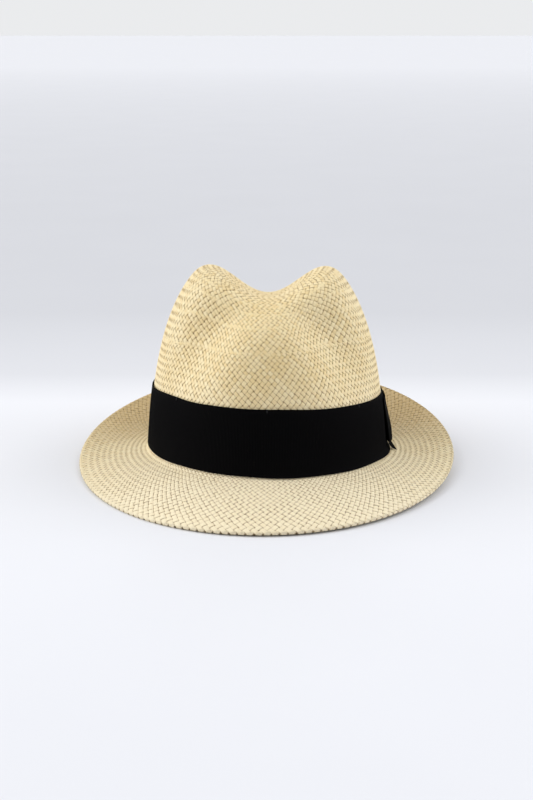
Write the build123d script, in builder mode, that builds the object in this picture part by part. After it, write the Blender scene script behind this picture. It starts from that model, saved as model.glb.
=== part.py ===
from build123d import *
from math import asin, cos, exp, hypot, pi, radians, sin, sqrt
import os

# Straw fedora with a turned-up back, resting on the front edge of its brim.
# Z is up, the front of the hat faces -Y and the wearer's left side is +X.
# All lengths are millimetres, all angles degrees.

# Crown wall where it meets the brim (outside of the straw)
HALF_WIDTH = 84.0
HALF_LENGTH = 101.2
EGG = 0.016  # how much narrower the front half of the oval is

# Crown
CROWN_RISE = 141.9  # height of the undented crown above the wall's foot
CROWN_POWER = 2.79  # squareness of the crown's profile
CROWN_TAPER = 0.12  # share of the width lost towards the top
CROWN_LEAN = 3.5  # the top sits this far behind the foot
CROWN_BACK_DROP = 6.2  # the top is this much lower at the back
DENT_DEPTH = 34.5
DENT_HALF_WIDTH = 54.4
DENT_MIDDLE_X = 0.8
DENT_MIDDLE_Y = 6.5
DENT_HALF_LENGTH = 65.4
DENT_POWER = 4
DENT_START = 0.45  # shares of the crown rise between which the dent sets in
DENT_FULL = 0.85
PINCH_DEPTH = 13.6
PINCH_ANGLE = 39.9  # round from the front, on both sides
PINCH_SEAT = 0.8  # share of the oval at which the pinch is centred
PINCH_HEIGHT = 90.5
PINCH_WIDTH = 24.0
PINCH_TALL = 34.0
PINCH_SLANT = 0.35
PINCH_REACH = 60.0  # the pinch fades out this far inside the wall
PINCH_FADE = 20.0

# Brim: lengths and slopes at the front, the sides and the back
ROLL_RADIUS = 4.5  # rounding between the crown wall and the brim
BRIM_LENGTH = (46.2, 44.3, 44.3)
BRIM_START_SLOPE = (-25.3, -8.6, 24.0)
BRIM_EDGE_SLOPE = (-29.3, 5.6, 61.9)
SIDE_LENGTH_SKEW = -0.7  # the wearer's left side of the brim is shorter
FRONT_LENGTH_SKEW = -2.0  # most of all towards the front
START_SLOPE_SKEW = 2.8  # and it stands a little higher towards the back
EDGE_SLOPE_SKEW = 4.4
SLOPE_POWER = 1.2
BACK_TILT = 5.0  # the hat leans back until the front edge carries it

# Straw cloth
STRAW_THICK = 1.4
HEM_THICK = 2.6  # edge where the straw is turned under and woven back
HEM_START = 0.60  # shares of the brim between which the hem sets in
HEM_FULL = 0.95

# Grosgrain ribbon round the foot of the crown
RIBBON_THICK = 0.8
RIBBON_GAP = 0.4
RIBBON_FOOT = 3.9  # lower edge above the underside of the roll
RIBBON_TOP = 45.4
RIBBON_FOOT_SKEW = 0.6  # degrees by which each edge sinks to the wearer's left
RIBBON_TOP_SKEW = 1.6
BUTT_GAP = 0.5  # slit where the ends of a band meet
SLIT_DEPTH = 8.0  # length of the tool that cuts the slit
TRIM = 1.0  # how far a cutting tool runs past what it cuts

# Flat bow on the wearer's left
BOW_ANGLE = 96.0
BOW_FOOT = 8.0  # lower edge of the loops above the ribbon's lower edge
BOW_HEIGHT = 33.0
LOOP_TURN = 7.6  # degrees round the hat from the knot to the middle of a loop
LOOP_LENGTH = 29.0
LOOP_DEPTH = 2.0
FOLD_THICK = 0.6
LAYER_GAP = 0.25
KNOT_WIDTH = 12.0
KNOT_FACE = 4.1  # inside of the strap, off the ribbon
TAIL_WIDTH = 15.0
TAIL_RISE = 18.0  # part of the tail hidden behind the front loop
TAIL_DROP = 3.0  # straight part below the loops
TAIL_POINT = 5.0  # slanted tip below that
TAIL_TURN = 8.5  # degrees from the knot forward to the middle of the tail
TACK_THICK = 0.4
TACK_LENGTH = 3.0
TACK_GAP = 0.2
TACK_DROP = 1.0  # middle of a band tack below the ribbon's upper edge
BOW_TACK_TURN = 1.5  # degrees from the middle of the knot to each tack
BAND_TACK_ANGLES = (0, 50, 140, 180, 230, 310)

# Sweatband and what holds it
SWEATBAND_GAP = 1.0
SWEATBAND_THICK = 1.0
SWEATBAND_FOOT = 4.4
SWEATBAND_TOP = 39.4
REED_RADIUS = 0.8
REED_HEIGHT = 2.6
REED_DEPTH = 2.8  # middle of the reed inside the outer face of the straw
TAPE_INNER_RADIUS = 0.9
TAPE_THICK = 0.35
TAPE_TOP = 11.0
TAPE_FLANGE_DEPTH = 1.9
STITCH_GAP = 0.1
STITCH_THICK = 0.5
STITCH_LENGTH = 4.2
STITCH_COUNT = 64
STITCH_SLANT = 25.0
STITCH_HEIGHT = 7.6
SEAM_STITCH_COUNT = 6
SEAM_STITCH_LENGTH = 3.0
SEAM_STITCH_START = 0.7  # steps from the top of the seam to the first stitch
INNER_BOW_HEIGHT = 20.0
INNER_BOW_LOOP = 8.0
INNER_BOW_GAP = 0.8
INNER_BOW_TALL = 7.0
INNER_BOW_THICK = 1.0
INNER_BOW_WAIST = 0.8  # height of a loop at the strap over the strap's width
INNER_KNOT_WIDTH = 3.0
INNER_KNOT_TALL = 4.8
TAB_ANGLE = 205.0
TAB_WIDTH = 12.0
TAB_DEPTH = 2.0
TAB_FOOT = 30.0
TAB_TOP = 46.0
TAB_THICK = 0.3

# Level under the ribbon where the crown's top patch meets its foot
UNDER_BAND_RISE = 0.15
UNDER_BAND = 1 - asin(UNDER_BAND_RISE ** (CROWN_POWER / 2)) / (pi / 2)

# Resolution of the rings that shape the straw
RING_POINTS = 48
CROWN_SPACING = 5.0
ROLL_SPACING = 1.6
BRIM_SPACING = 4.0
SMALL_TURN = 0.002


def smooth(value):
    """Ease from 0 to 1."""
    value = min(max(value, 0.0), 1.0)
    return value * value * (3 - 2 * value)


def around(angle, front_side_back):
    """Value at an angle round the hat from its front, side and back values."""
    front, side, back = front_side_back
    turn = cos(angle)
    return side + (front - back) / 2 * turn + ((front + back) / 2 - side) * turn * turn


def oval(angle):
    """Foot of the crown wall and its outward direction; angle 0 is the front."""
    x = HALF_WIDTH * sin(angle) * (1 - EGG * cos(angle))
    y = -HALF_LENGTH * cos(angle)
    out_x = HALF_LENGTH * sin(angle)
    out_y = -HALF_WIDTH * cos(angle)
    size = hypot(out_x, out_y)
    return x, y, out_x / size, out_y / size


def pinched(x, y, z):
    """Push a crown point in at the two front pinches."""
    for side in (1, -1):
        angle = radians(PINCH_ANGLE)
        seat_x = side * PINCH_SEAT * HALF_WIDTH * sin(angle)
        seat_y = -PINCH_SEAT * HALF_LENGTH * cos(angle)
        out_x = side * HALF_LENGTH * sin(angle)
        out_y = -HALF_WIDTH * cos(angle)
        size = hypot(out_x, out_y)
        out_x = out_x / size
        out_y = out_y / size
        across = side * (-(x - seat_x) * out_y + (y - seat_y) * out_x)
        inside = (x - seat_x) * out_x + (y - seat_y) * out_y
        above = z - PINCH_HEIGHT
        across = across + PINCH_SLANT * above
        push = exp(-((across / PINCH_WIDTH) ** 2) - (above / PINCH_TALL) ** 2)
        if inside < -PINCH_REACH:
            push = push * exp(-(((inside + PINCH_REACH) / PINCH_FADE) ** 2))
        x = x - PINCH_DEPTH * push * out_x
        y = y - PINCH_DEPTH * push * out_y
    return x, y


def dented(x, y, z):
    """Sink a crown point into the long dent of the top."""
    onset = smooth((z / CROWN_RISE - DENT_START) / (DENT_FULL - DENT_START))
    along = 1 / (1 + abs((y - DENT_MIDDLE_Y) / DENT_HALF_LENGTH) ** DENT_POWER)
    across = 0.5 * (1 + cos(pi * min(abs(x - DENT_MIDDLE_X) / DENT_HALF_WIDTH, 1.0)))
    return z - DENT_DEPTH * onset * along * across


def crown_point(angle, reach, rise):
    """Outside of the crown; reach 1 and rise 0 at the foot, 0 and 1 at the top."""
    foot_x, foot_y, _, _ = oval(angle)
    reach = reach * (1 - CROWN_TAPER * rise)
    x = reach * foot_x
    y = reach * foot_y + CROWN_LEAN * rise
    drop = CROWN_BACK_DROP * rise * (y / HALF_LENGTH + 1) / 2
    z = CROWN_RISE * rise - drop + ROLL_RADIUS
    x, y = pinched(x, y, z)
    return Vector(x, y, dented(x, y, z))


def brim_slopes(angle):
    """Slopes of the brim, in radians, where it starts and at its edge."""
    skew = sin(angle) * (1 - cos(angle))
    start = around(angle, BRIM_START_SLOPE) + START_SLOPE_SKEW * skew
    edge = around(angle, BRIM_EDGE_SLOPE) + EDGE_SLOPE_SKEW * skew
    return radians(start), radians(edge)


def brim_length(angle):
    """Length of the brim from the roll to its edge."""
    skew = SIDE_LENGTH_SKEW + FRONT_LENGTH_SKEW * cos(angle)
    return around(angle, BRIM_LENGTH) + skew * sin(angle)


def roll_point(angle, turn):
    """Rounding between wall (turn 0) and brim (turn 1)."""
    foot_x, foot_y, out_x, out_y = oval(angle)
    start, _ = brim_slopes(angle)
    heading = -pi / 2 + turn * (start + pi / 2)
    out = ROLL_RADIUS * (1 + sin(heading))
    z = ROLL_RADIUS * (1 - cos(heading))
    return Vector(foot_x + out * out_x, foot_y + out * out_y, z)


def brim_point(angle, along):
    """Top of the brim from the roll (along 0) to the edge (along 1)."""
    foot = roll_point(angle, 1.0)
    _, _, out_x, out_y = oval(angle)
    start, edge = brim_slopes(angle)
    length = brim_length(angle)
    steps = 12
    out = 0.0
    up = 0.0
    for step in range(steps):
        part = along * (step + 0.5) / steps
        slope = start + (edge - start) * part**SLOPE_POWER
        out = out + cos(slope) * length * along / steps
        up = up + sin(slope) * length * along / steps
    return foot + Vector(out * out_x, out * out_y, up)


def skin_point(angle, station):
    """Outside of the straw; station 0 is the top, 1 the wall's foot, 2 the roll's
    end and 3 the brim's edge."""
    if station <= 1:
        turn = pi / 2 * (1 - station)
        share = 2 / CROWN_POWER
        return crown_point(angle, cos(turn) ** share, sin(turn) ** share)
    if station <= 2:
        return roll_point(angle, station - 1)
    return brim_point(angle, station - 2)


def skin_out(angle, station):
    """Direction square to the straw, away from the head."""
    low = station - SMALL_TURN
    high = station + SMALL_TURN
    if station >= 3:
        high = 3.0
    down = skin_point(angle, high) - skin_point(angle, low)
    side = skin_point(angle + SMALL_TURN, station) - skin_point(angle - SMALL_TURN, station)
    return down.cross(side).normalized()


# Stand the hat on its front brim edge and the back of the roll
def leaned(point):
    tilt = radians(BACK_TILT)
    y = point.Y * cos(tilt) + point.Z * sin(tilt)
    z = -point.Y * sin(tilt) + point.Z * cos(tilt)
    return Vector(point.X, y, z)


def rounded_edge(angle, turn):
    """Point on the rounded hem; turn 0 is its outer face and pi its inner face."""
    radius = HEM_THICK / 2
    edge = skin_point(angle, 3.0)
    ahead = (edge - skin_point(angle, 2.98)).normalized()
    out = skin_out(angle, 3.0)
    return edge - out * radius + (out * cos(turn) + ahead * sin(turn)) * radius


def lowest_and_middle():
    """Underside of the leaned hat and the middle of its outline."""
    low = 1000.0
    x_ends = [1000.0, -1000.0]
    y_ends = [1000.0, -1000.0]
    for count in range(360):
        angle = radians(count)
        for station in (1.7, 1.85, 2.0, 2.1, 2.3, 2.6, 2.85, 3.0):
            depth = cloth_thick(station)
            point = leaned(skin_point(angle, station) - skin_out(angle, station) * depth)
            low = min(low, point.Z)
        for turn in (0.25, 0.5, 0.75):
            edge = leaned(rounded_edge(angle, turn * pi))
            low = min(low, edge.Z)
            x_ends = [min(x_ends[0], edge.X), max(x_ends[1], edge.X)]
            y_ends = [min(y_ends[0], edge.Y), max(y_ends[1], edge.Y)]
    return low, sum(x_ends) / 2, sum(y_ends) / 2


def cloth_thick(station):
    """Straw thickness; the hem at the edge is double."""
    hem = smooth((station - 2 - HEM_START) / (HEM_FULL - HEM_START))
    return STRAW_THICK + (HEM_THICK - STRAW_THICK) * hem


LOW, MIDDLE_X, MIDDLE_Y = lowest_and_middle()
HAT = Plane(
    origin=(-MIDDLE_X, -MIDDLE_Y, -LOW),
    x_dir=(1, 0, 0),
    z_dir=(0, sin(radians(BACK_TILT)), cos(radians(BACK_TILT))),
)


def ring(points):
    """Closed smooth ring through points spaced evenly round the hat."""
    steps = [count / len(points) for count in range(len(points) + 1)]
    placed = [HAT.from_local_coords(point) for point in points]
    return Wire([Edge.make_spline(placed, periodic=True, parameters=steps)])


def ring_angles():
    """Angles of the points of a ring."""
    return [2 * pi * count / RING_POINTS for count in range(RING_POINTS)]


def even_stations(first, last, spacing):
    """Stations spaced evenly along the straw, as seen at the side of the hat."""
    fine = 400
    trail = [0.0]
    for count in range(fine):
        here = skin_point(pi / 2, first + (last - first) * count / fine)
        ahead = skin_point(pi / 2, first + (last - first) * (count + 1) / fine)
        trail.append(trail[-1] + (ahead - here).length)
    parts = max(3, round(trail[-1] / spacing))
    stations = []
    for part in range(parts + 1):
        target = trail[-1] * part / parts
        count = min(range(fine + 1), key=lambda index: abs(trail[index] - target))
        stations.append(first + (last - first) * count / fine)
    return stations


def straw_ring(station, depth):
    """Ring through the straw, this deep below its outer face."""
    points = []
    for angle in ring_angles():
        skin = skin_point(angle, station)
        points.append(skin - skin_out(angle, station) * depth)
    return ring(points)


def edge_ring(turn):
    """Ring on the rounded edge of the brim."""
    return ring([rounded_edge(angle, turn) for angle in ring_angles()])


def top_vertex(depth):
    """Middle of the crown, this deep below its outer face."""
    top = skin_point(0.0, 0.0)
    return Vertex(*HAT.from_local_coords(Vector(top.X, top.Y, top.Z - depth)))


def make_straw_body():
    """Crown and brim, one continuous piece of woven straw."""
    spans = (
        (0.0, UNDER_BAND, CROWN_SPACING),
        (UNDER_BAND, 1.0, CROWN_SPACING),
        (1.0, 2.0, ROLL_SPACING),
        (2.0, 3.0, BRIM_SPACING),
    )
    edges = {turn: edge_ring(turn * pi / 4) for turn in range(5)}
    faces = Shell.make_loft(list(edges.values())).faces()
    for inside in (False, True):
        shared = {3.0: edges[4] if inside else edges[0]}
        for first, last, spacing in spans:
            sections = []
            for station in even_stations(first, last, spacing):
                depth = cloth_thick(station) if inside else 0.0
                if station == 0.0:
                    sections.append(top_vertex(depth))
                    continue
                if station not in shared:
                    shared[station] = straw_ring(station, depth)
                sections.append(shared[station])
            faces += Shell.make_loft(sections).faces()
    with BuildPart() as straw_body:
        add(Solid(Shell(faces)))
    return straw_body.part


def level_ring(angle, height, out, skew):
    """Crown wall at a level that may be skewed to one side, moved straight out."""
    x = HALF_WIDTH * sin(angle)
    for _ in range(6):
        level = height - x * sin(radians(skew)) / cos(radians(skew))
        point = wall_point(angle, level)
        x = point.X
    ahead = wall_point(angle + SMALL_TURN, level) - wall_point(angle - SMALL_TURN, level)
    outward = Vector(ahead.Y, -ahead.X, 0).normalized()
    return point + outward * out


def wall_point(angle, height):
    """Outside of the crown wall or the roll below it, at one height."""
    if height < ROLL_RADIUS:
        foot_x, foot_y, out_x, out_y = oval(angle)
        out = ROLL_RADIUS - sqrt(ROLL_RADIUS**2 - (ROLL_RADIUS - height) ** 2)
        return Vector(foot_x + out * out_x, foot_y + out * out_y, height)
    rise = (height - ROLL_RADIUS) / CROWN_RISE
    for _ in range(5):
        turn = asin(max(rise, 0.0) ** (CROWN_POWER / 2))
        point = crown_point(angle, cos(turn) ** (2 / CROWN_POWER), rise)
        rise = max(rise + (height - point.Z) / CROWN_RISE, 0.0)
    return Vector(point.X, point.Y, height)


def level_plane(height, skew):
    """Plane across the hat at one height, sunk to the wearer's left."""
    turn = radians(skew)
    origin = HAT.from_local_coords(Vector(0, 0, height))
    across = HAT.from_local_coords(Vector(cos(turn), 0, height - sin(turn))) - origin
    up = HAT.from_local_coords(Vector(sin(turn), 0, height + cos(turn))) - origin
    return Plane(origin=origin, x_dir=across, z_dir=up)


def level_outline(height, out, skew=0.0):
    """Points of one level outline in the coordinates of its plane."""
    plane = level_plane(height, skew)
    points = []
    for angle in ring_angles():
        placed = HAT.from_local_coords(level_ring(angle, height, out, skew))
        local = plane.to_local_coords(placed)
        points.append((local.X, local.Y))
    return points


def level_face(height, out, skew=0.0):
    """Face filled by one level outline, a section for lofting."""
    with BuildSketch(level_plane(height, skew)) as section:
        with BuildLine():
            Spline(*level_outline(height, out, skew), periodic=True)
        make_face()
    return section.sketch


def wall_frame(angle_degrees, height, out):
    """Plane on the wall: x runs round the hat, y inwards, z up the wall."""
    angle = radians(angle_degrees)
    here = HAT.from_local_coords(level_ring(angle, height, out, 0))
    above = HAT.from_local_coords(level_ring(angle, height + 1, out, 0))
    ahead = HAT.from_local_coords(level_ring(angle + SMALL_TURN, height, out, 0))
    side = (ahead - here).normalized()
    up = (above - here).normalized()
    up = (up - side * up.dot(side)).normalized()
    return Plane(origin=here, x_dir=side, z_dir=up)


def ribbon_skew(height):
    """Sideways slant of the ribbon, in degrees, at a height on it."""
    share = (height - RIBBON_FOOT) / (RIBBON_TOP - RIBBON_FOOT)
    return RIBBON_FOOT_SKEW + share * (RIBBON_TOP_SKEW - RIBBON_FOOT_SKEW)


def make_hat_band():
    """Ribbon round the crown, open where its ends meet under the bow."""
    middle = (RIBBON_FOOT + RIBBON_TOP) / 2
    with BuildPart() as hat_band:
        outer = RIBBON_GAP + RIBBON_THICK
        heights = (RIBBON_FOOT, middle, RIBBON_TOP)
        loft(sections=[level_face(height, outer, ribbon_skew(height)) for height in heights])
        heights = (RIBBON_FOOT - TRIM, middle, RIBBON_TOP + TRIM)
        loft(
            sections=[level_face(height, RIBBON_GAP, ribbon_skew(height)) for height in heights],
            mode=Mode.SUBTRACT,
        )
        with BuildSketch(wall_frame(BOW_ANGLE, RIBBON_FOOT + TRIM, 0)):
            Rectangle(BUTT_GAP, SLIT_DEPTH)
        extrude(amount=RIBBON_TOP, both=True, mode=Mode.SUBTRACT)
    return hat_band.part


def make_band_tacks():
    """Thread tacks over the upper edge of the ribbon."""
    out = RIBBON_GAP + RIBBON_THICK + TACK_GAP + TACK_THICK / 2
    with BuildPart() as band_tacks:
        for angle in BAND_TACK_ANGLES:
            drop = HALF_WIDTH * sin(radians(angle)) * sin(radians(RIBBON_TOP_SKEW))
            with Locations(wall_frame(angle, RIBBON_TOP - drop - TACK_DROP, out).location):
                Box(TACK_THICK, TACK_THICK, TACK_LENGTH)
    return band_tacks.part


def bow_frame(turn):
    """Plane level with the foot of the loops, on the outside of the ribbon."""
    height = RIBBON_FOOT + BOW_FOOT
    return wall_frame(BOW_ANGLE + turn, height, RIBBON_GAP + RIBBON_THICK)


def make_bow_loops():
    """One ribbon folded flat into a front and a rear loop."""
    stand_off = 2 * LAYER_GAP + FOLD_THICK + LOOP_DEPTH / 2
    hollow = LOOP_DEPTH - 2 * FOLD_THICK
    with BuildPart() as bow_loops:
        for turn in (LOOP_TURN, -LOOP_TURN):
            with BuildSketch(bow_frame(turn)):
                with Locations((0, -stand_off)):
                    SlotOverall(LOOP_LENGTH, LOOP_DEPTH)
                    SlotOverall(LOOP_LENGTH - 2 * FOLD_THICK, hollow, mode=Mode.SUBTRACT)
            extrude(amount=BOW_HEIGHT)
    return bow_loops.part


def make_bow_knot():
    """Strap over the middle of the bow, turned in above and below the loops."""
    face = KNOT_FACE
    tall = BOW_HEIGHT + 2 * LAYER_GAP
    frame = bow_frame(0)
    with BuildPart() as bow_knot:
        with BuildSketch(frame.offset(-LAYER_GAP - FOLD_THICK)):
            with Locations((0, -(LAYER_GAP + face + FOLD_THICK) / 2)):
                Rectangle(KNOT_WIDTH, face + FOLD_THICK - LAYER_GAP)
        extrude(amount=tall + 2 * FOLD_THICK)
        with BuildSketch(frame.offset(-LAYER_GAP)):
            with Locations((0, -face / 2)):
                Rectangle(KNOT_WIDTH + TRIM, face)
        extrude(amount=tall, mode=Mode.SUBTRACT)
    return bow_knot.part


def make_bow_tail():
    """Cut end of the bow's ribbon, hanging out below the front loop."""
    frame = bow_frame(-TAIL_TURN)
    upright = Plane(origin=frame.origin, x_dir=frame.x_dir, z_dir=-frame.y_dir)
    half = TAIL_WIDTH / 2
    with BuildPart() as bow_tail:
        with BuildSketch(upright.offset(LAYER_GAP)):
            with BuildLine():
                Polyline(
                    (-half, TAIL_RISE),
                    (half, TAIL_RISE),
                    (half, -TAIL_DROP),
                    (-half, -TAIL_DROP - TAIL_POINT),
                    close=True,
                )
            make_face()
        extrude(amount=FOLD_THICK)
    return bow_tail.part


def make_bow_tacks():
    """Thread tacks above and below the knot that sew the bow to the ribbon."""
    out = RIBBON_GAP + RIBBON_THICK + TACK_GAP + TACK_THICK / 2
    foot = RIBBON_FOOT + BOW_FOOT - LAYER_GAP - FOLD_THICK
    top = foot + BOW_HEIGHT + 2 * LAYER_GAP + 2 * FOLD_THICK
    with BuildPart() as bow_tacks:
        for height in (foot - TACK_THICK - TACK_GAP, top + TACK_THICK):
            for side in (-1, 1):
                angle = BOW_ANGLE + side * BOW_TACK_TURN
                with Locations(wall_frame(angle, height, out).location):
                    Box(TACK_LENGTH, TACK_THICK, TACK_THICK)
    return bow_tacks.part


def make_sweatband():
    """Band inside the crown wall, open at the rear seam."""
    outer = -(STRAW_THICK + SWEATBAND_GAP)
    middle = (SWEATBAND_FOOT + SWEATBAND_TOP) / 2
    with BuildPart() as sweatband:
        heights = (SWEATBAND_FOOT, middle, SWEATBAND_TOP)
        loft(sections=[level_face(height, outer) for height in heights])
        heights = (SWEATBAND_FOOT - TRIM, middle, SWEATBAND_TOP + TRIM)
        inner = outer - SWEATBAND_THICK
        loft(sections=[level_face(height, inner) for height in heights], mode=Mode.SUBTRACT)
        with BuildSketch(wall_frame(180, SWEATBAND_FOOT + TRIM, outer)):
            Rectangle(BUTT_GAP, SLIT_DEPTH)
        extrude(amount=SWEATBAND_TOP, both=True, mode=Mode.SUBTRACT)
    return sweatband.part


def reed_path_start():
    """Plane square to the reed's path at the front; x points into the hat."""
    start = HAT.from_local_coords(level_ring(0.0, REED_HEIGHT, -REED_DEPTH, 0))
    return Plane(origin=start, x_dir=-HAT.y_dir, z_dir=HAT.x_dir)


def make_sweatband_reed():
    """Thin reed that stiffens the sweatband's lower edge."""
    with BuildPart() as sweatband_reed:
        with BuildLine(HAT.offset(REED_HEIGHT)):
            Spline(*level_outline(REED_HEIGHT, -REED_DEPTH), periodic=True)
        with BuildSketch(reed_path_start()):
            Circle(REED_RADIUS)
        sweep()
    return sweatband_reed.part


def make_reed_tape():
    """Tape folded round the reed, with a flange sewn behind the sweatband."""
    tube = TAPE_INNER_RADIUS + TAPE_THICK
    flange_foot = REED_HEIGHT + TAPE_INNER_RADIUS
    with BuildPart() as reed_tape:
        with BuildLine(HAT.offset(REED_HEIGHT)):
            Spline(*level_outline(REED_HEIGHT, -REED_DEPTH), periodic=True)
        with BuildSketch(reed_path_start()):
            Circle(tube)
            Circle(TAPE_INNER_RADIUS, mode=Mode.SUBTRACT)
        sweep()
        outer = -TAPE_FLANGE_DEPTH + TAPE_THICK / 2
        heights = (flange_foot, TAPE_TOP)
        flange = loft(sections=[level_face(height, outer) for height in heights], mode=Mode.PRIVATE)
        inner = outer - TAPE_THICK
        heights = (flange_foot - TRIM, TAPE_TOP + TRIM)
        hollow = loft(sections=[level_face(height, inner) for height in heights], mode=Mode.PRIVATE)
        add(flange - hollow)
    return reed_tape.part


def make_sweatband_stitches():
    """Slanted stitches that sew the sweatband's lower edge to the tape."""
    depth = STRAW_THICK + SWEATBAND_GAP + SWEATBAND_THICK + STITCH_GAP + STITCH_THICK / 2
    with BuildPart() as sweatband_stitches:
        for count in range(STITCH_COUNT):
            angle = 360 * (count + 0.5) / STITCH_COUNT
            slant = STITCH_SLANT if count % 2 == 0 else -STITCH_SLANT
            place = wall_frame(angle, STITCH_HEIGHT, -depth).location
            with Locations(place * Location((0, 0, 0), (0, slant, 0))):
                Box(STITCH_LENGTH, STITCH_THICK, STITCH_THICK)
    return sweatband_stitches.part


def make_seam_stitches():
    """Stitches across the rear seam of the sweatband."""
    depth = STRAW_THICK + SWEATBAND_GAP + SWEATBAND_THICK + STITCH_GAP + STITCH_THICK / 2
    step = (SWEATBAND_TOP - INNER_BOW_HEIGHT - INNER_BOW_TALL) / SEAM_STITCH_COUNT
    with BuildPart() as seam_stitches:
        for count in range(SEAM_STITCH_COUNT):
            height = SWEATBAND_TOP - step * (count + SEAM_STITCH_START)
            with Locations(wall_frame(180, height, -depth).location):
                Box(SEAM_STITCH_LENGTH, STITCH_THICK, STITCH_THICK)
    return seam_stitches.part


def inner_bow_frame():
    """Upright plane on the rear of the sweatband, facing into the hat."""
    depth = STRAW_THICK + SWEATBAND_GAP + SWEATBAND_THICK + INNER_BOW_GAP
    wall = wall_frame(180, INNER_BOW_HEIGHT, -depth)
    return Plane(origin=wall.origin, x_dir=-wall.x_dir, z_dir=wall.y_dir)


def make_inner_bow_loops():
    """Two small ribbon loops over the rear seam."""
    waist = INNER_BOW_WAIST * INNER_KNOT_WIDTH / 2
    with BuildPart() as inner_bow_loops:
        with BuildSketch(inner_bow_frame()):
            for side in (1, -1):
                with BuildLine():
                    Polyline(
                        (0, waist),
                        (side * INNER_BOW_LOOP, INNER_BOW_TALL / 2),
                        (side * INNER_BOW_LOOP, -INNER_BOW_TALL / 2),
                        (0, -waist),
                        close=True,
                    )
                make_face()
        extrude(amount=INNER_BOW_THICK)
    return inner_bow_loops.part


def make_inner_bow_knot():
    """Small strap over the middle of the inner bow."""
    slack = TACK_GAP
    with BuildPart() as inner_bow_knot:
        with BuildSketch(inner_bow_frame()):
            Rectangle(INNER_KNOT_WIDTH, INNER_KNOT_TALL)
        extrude(amount=INNER_BOW_THICK + slack + FOLD_THICK)
        with BuildSketch(inner_bow_frame().offset(-slack)):
            Rectangle(INNER_KNOT_WIDTH + TRIM, INNER_KNOT_TALL - 2 * FOLD_THICK)
        extrude(amount=INNER_BOW_THICK + 2 * slack, mode=Mode.SUBTRACT)
    return inner_bow_knot.part


def make_size_tab():
    """Blank tab tucked behind the sweatband, standing above it."""
    middle = (TAB_FOOT + TAB_TOP) / 2
    with BuildPart() as size_tab:
        with Locations(wall_frame(TAB_ANGLE, middle, -TAB_DEPTH).location):
            Box(TAB_WIDTH, TAB_THICK, TAB_TOP - TAB_FOOT)
    return size_tab.part


MAKERS = {
    "straw_body": make_straw_body,
    "hat_band": make_hat_band,
    "band_tacks": make_band_tacks,
    "bow_loops": make_bow_loops,
    "bow_knot": make_bow_knot,
    "bow_tail": make_bow_tail,
    "bow_tacks": make_bow_tacks,
    "sweatband": make_sweatband,
    "sweatband_reed": make_sweatband_reed,
    "reed_tape": make_reed_tape,
    "sweatband_stitches": make_sweatband_stitches,
    "sweatband_seam_stitches": make_seam_stitches,
    "inner_bow_loops": make_inner_bow_loops,
    "inner_bow_knot": make_inner_bow_knot,
    "size_tab": make_size_tab,
}

os.makedirs("parts", exist_ok=True)
for name, make in MAKERS.items():
    part = make()
    part.label = name
    export_step(part, f"parts/{name}.step")
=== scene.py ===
"""Woven straw fedora: crown and brim of interlaced strands, ribbon with a side bow, sewn sweatband.

Shapes are worked out in millimetres in the hat's own frame (z up from the brim's fold, front
towards -y) and placed in the shared frame in metres by HatForm.place.
"""

import logging
import math
from dataclasses import dataclass, field
from enum import Enum
from typing import Any, Callable, Optional, Sequence, Union

import bpy
import numpy as np
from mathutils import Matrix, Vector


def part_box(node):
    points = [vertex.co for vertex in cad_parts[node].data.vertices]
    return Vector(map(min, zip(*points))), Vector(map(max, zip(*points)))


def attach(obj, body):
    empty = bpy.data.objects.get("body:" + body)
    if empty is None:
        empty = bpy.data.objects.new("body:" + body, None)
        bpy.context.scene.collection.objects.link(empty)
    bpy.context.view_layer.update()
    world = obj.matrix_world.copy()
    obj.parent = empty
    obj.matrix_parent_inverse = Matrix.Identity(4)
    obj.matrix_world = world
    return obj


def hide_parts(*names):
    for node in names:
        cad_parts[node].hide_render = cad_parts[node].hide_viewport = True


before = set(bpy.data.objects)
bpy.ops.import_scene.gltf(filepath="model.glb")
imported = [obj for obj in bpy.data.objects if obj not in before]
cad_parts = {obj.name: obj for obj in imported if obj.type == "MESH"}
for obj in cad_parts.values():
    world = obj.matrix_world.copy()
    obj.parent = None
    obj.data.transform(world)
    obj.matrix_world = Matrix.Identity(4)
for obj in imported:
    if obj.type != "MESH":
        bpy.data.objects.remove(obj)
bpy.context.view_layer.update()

LOG = logging.getLogger("hat")
MM = 0.001
TAU = 2 * math.pi
Array = np.ndarray
Pair = tuple[float, float]
Triple = tuple[float, float, float]


class Family(Enum):
    """The two crossing families of straw strands."""

    RISING = 1
    FALLING = -1


def smooth(value: Array) -> Array:
    """Ease from 0 to 1: v * v * (3 - 2v) with v held between 0 and 1.

    Args:
        value: Any array.

    Returns:
        The eased array.
    """
    held = np.clip(value, 0.0, 1.0)
    return held * held * (3 - 2 * held)


def unit(vectors: Array) -> Array:
    """Vectors divided by their length.

    Args:
        vectors: Array whose last axis holds x, y and z.

    Returns:
        Vectors of length one.
    """
    size = np.linalg.norm(vectors, axis=-1, keepdims=True)
    return vectors / np.maximum(size, 1e-9)


# ------------------------------------------------------------------ shape of the hat


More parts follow.
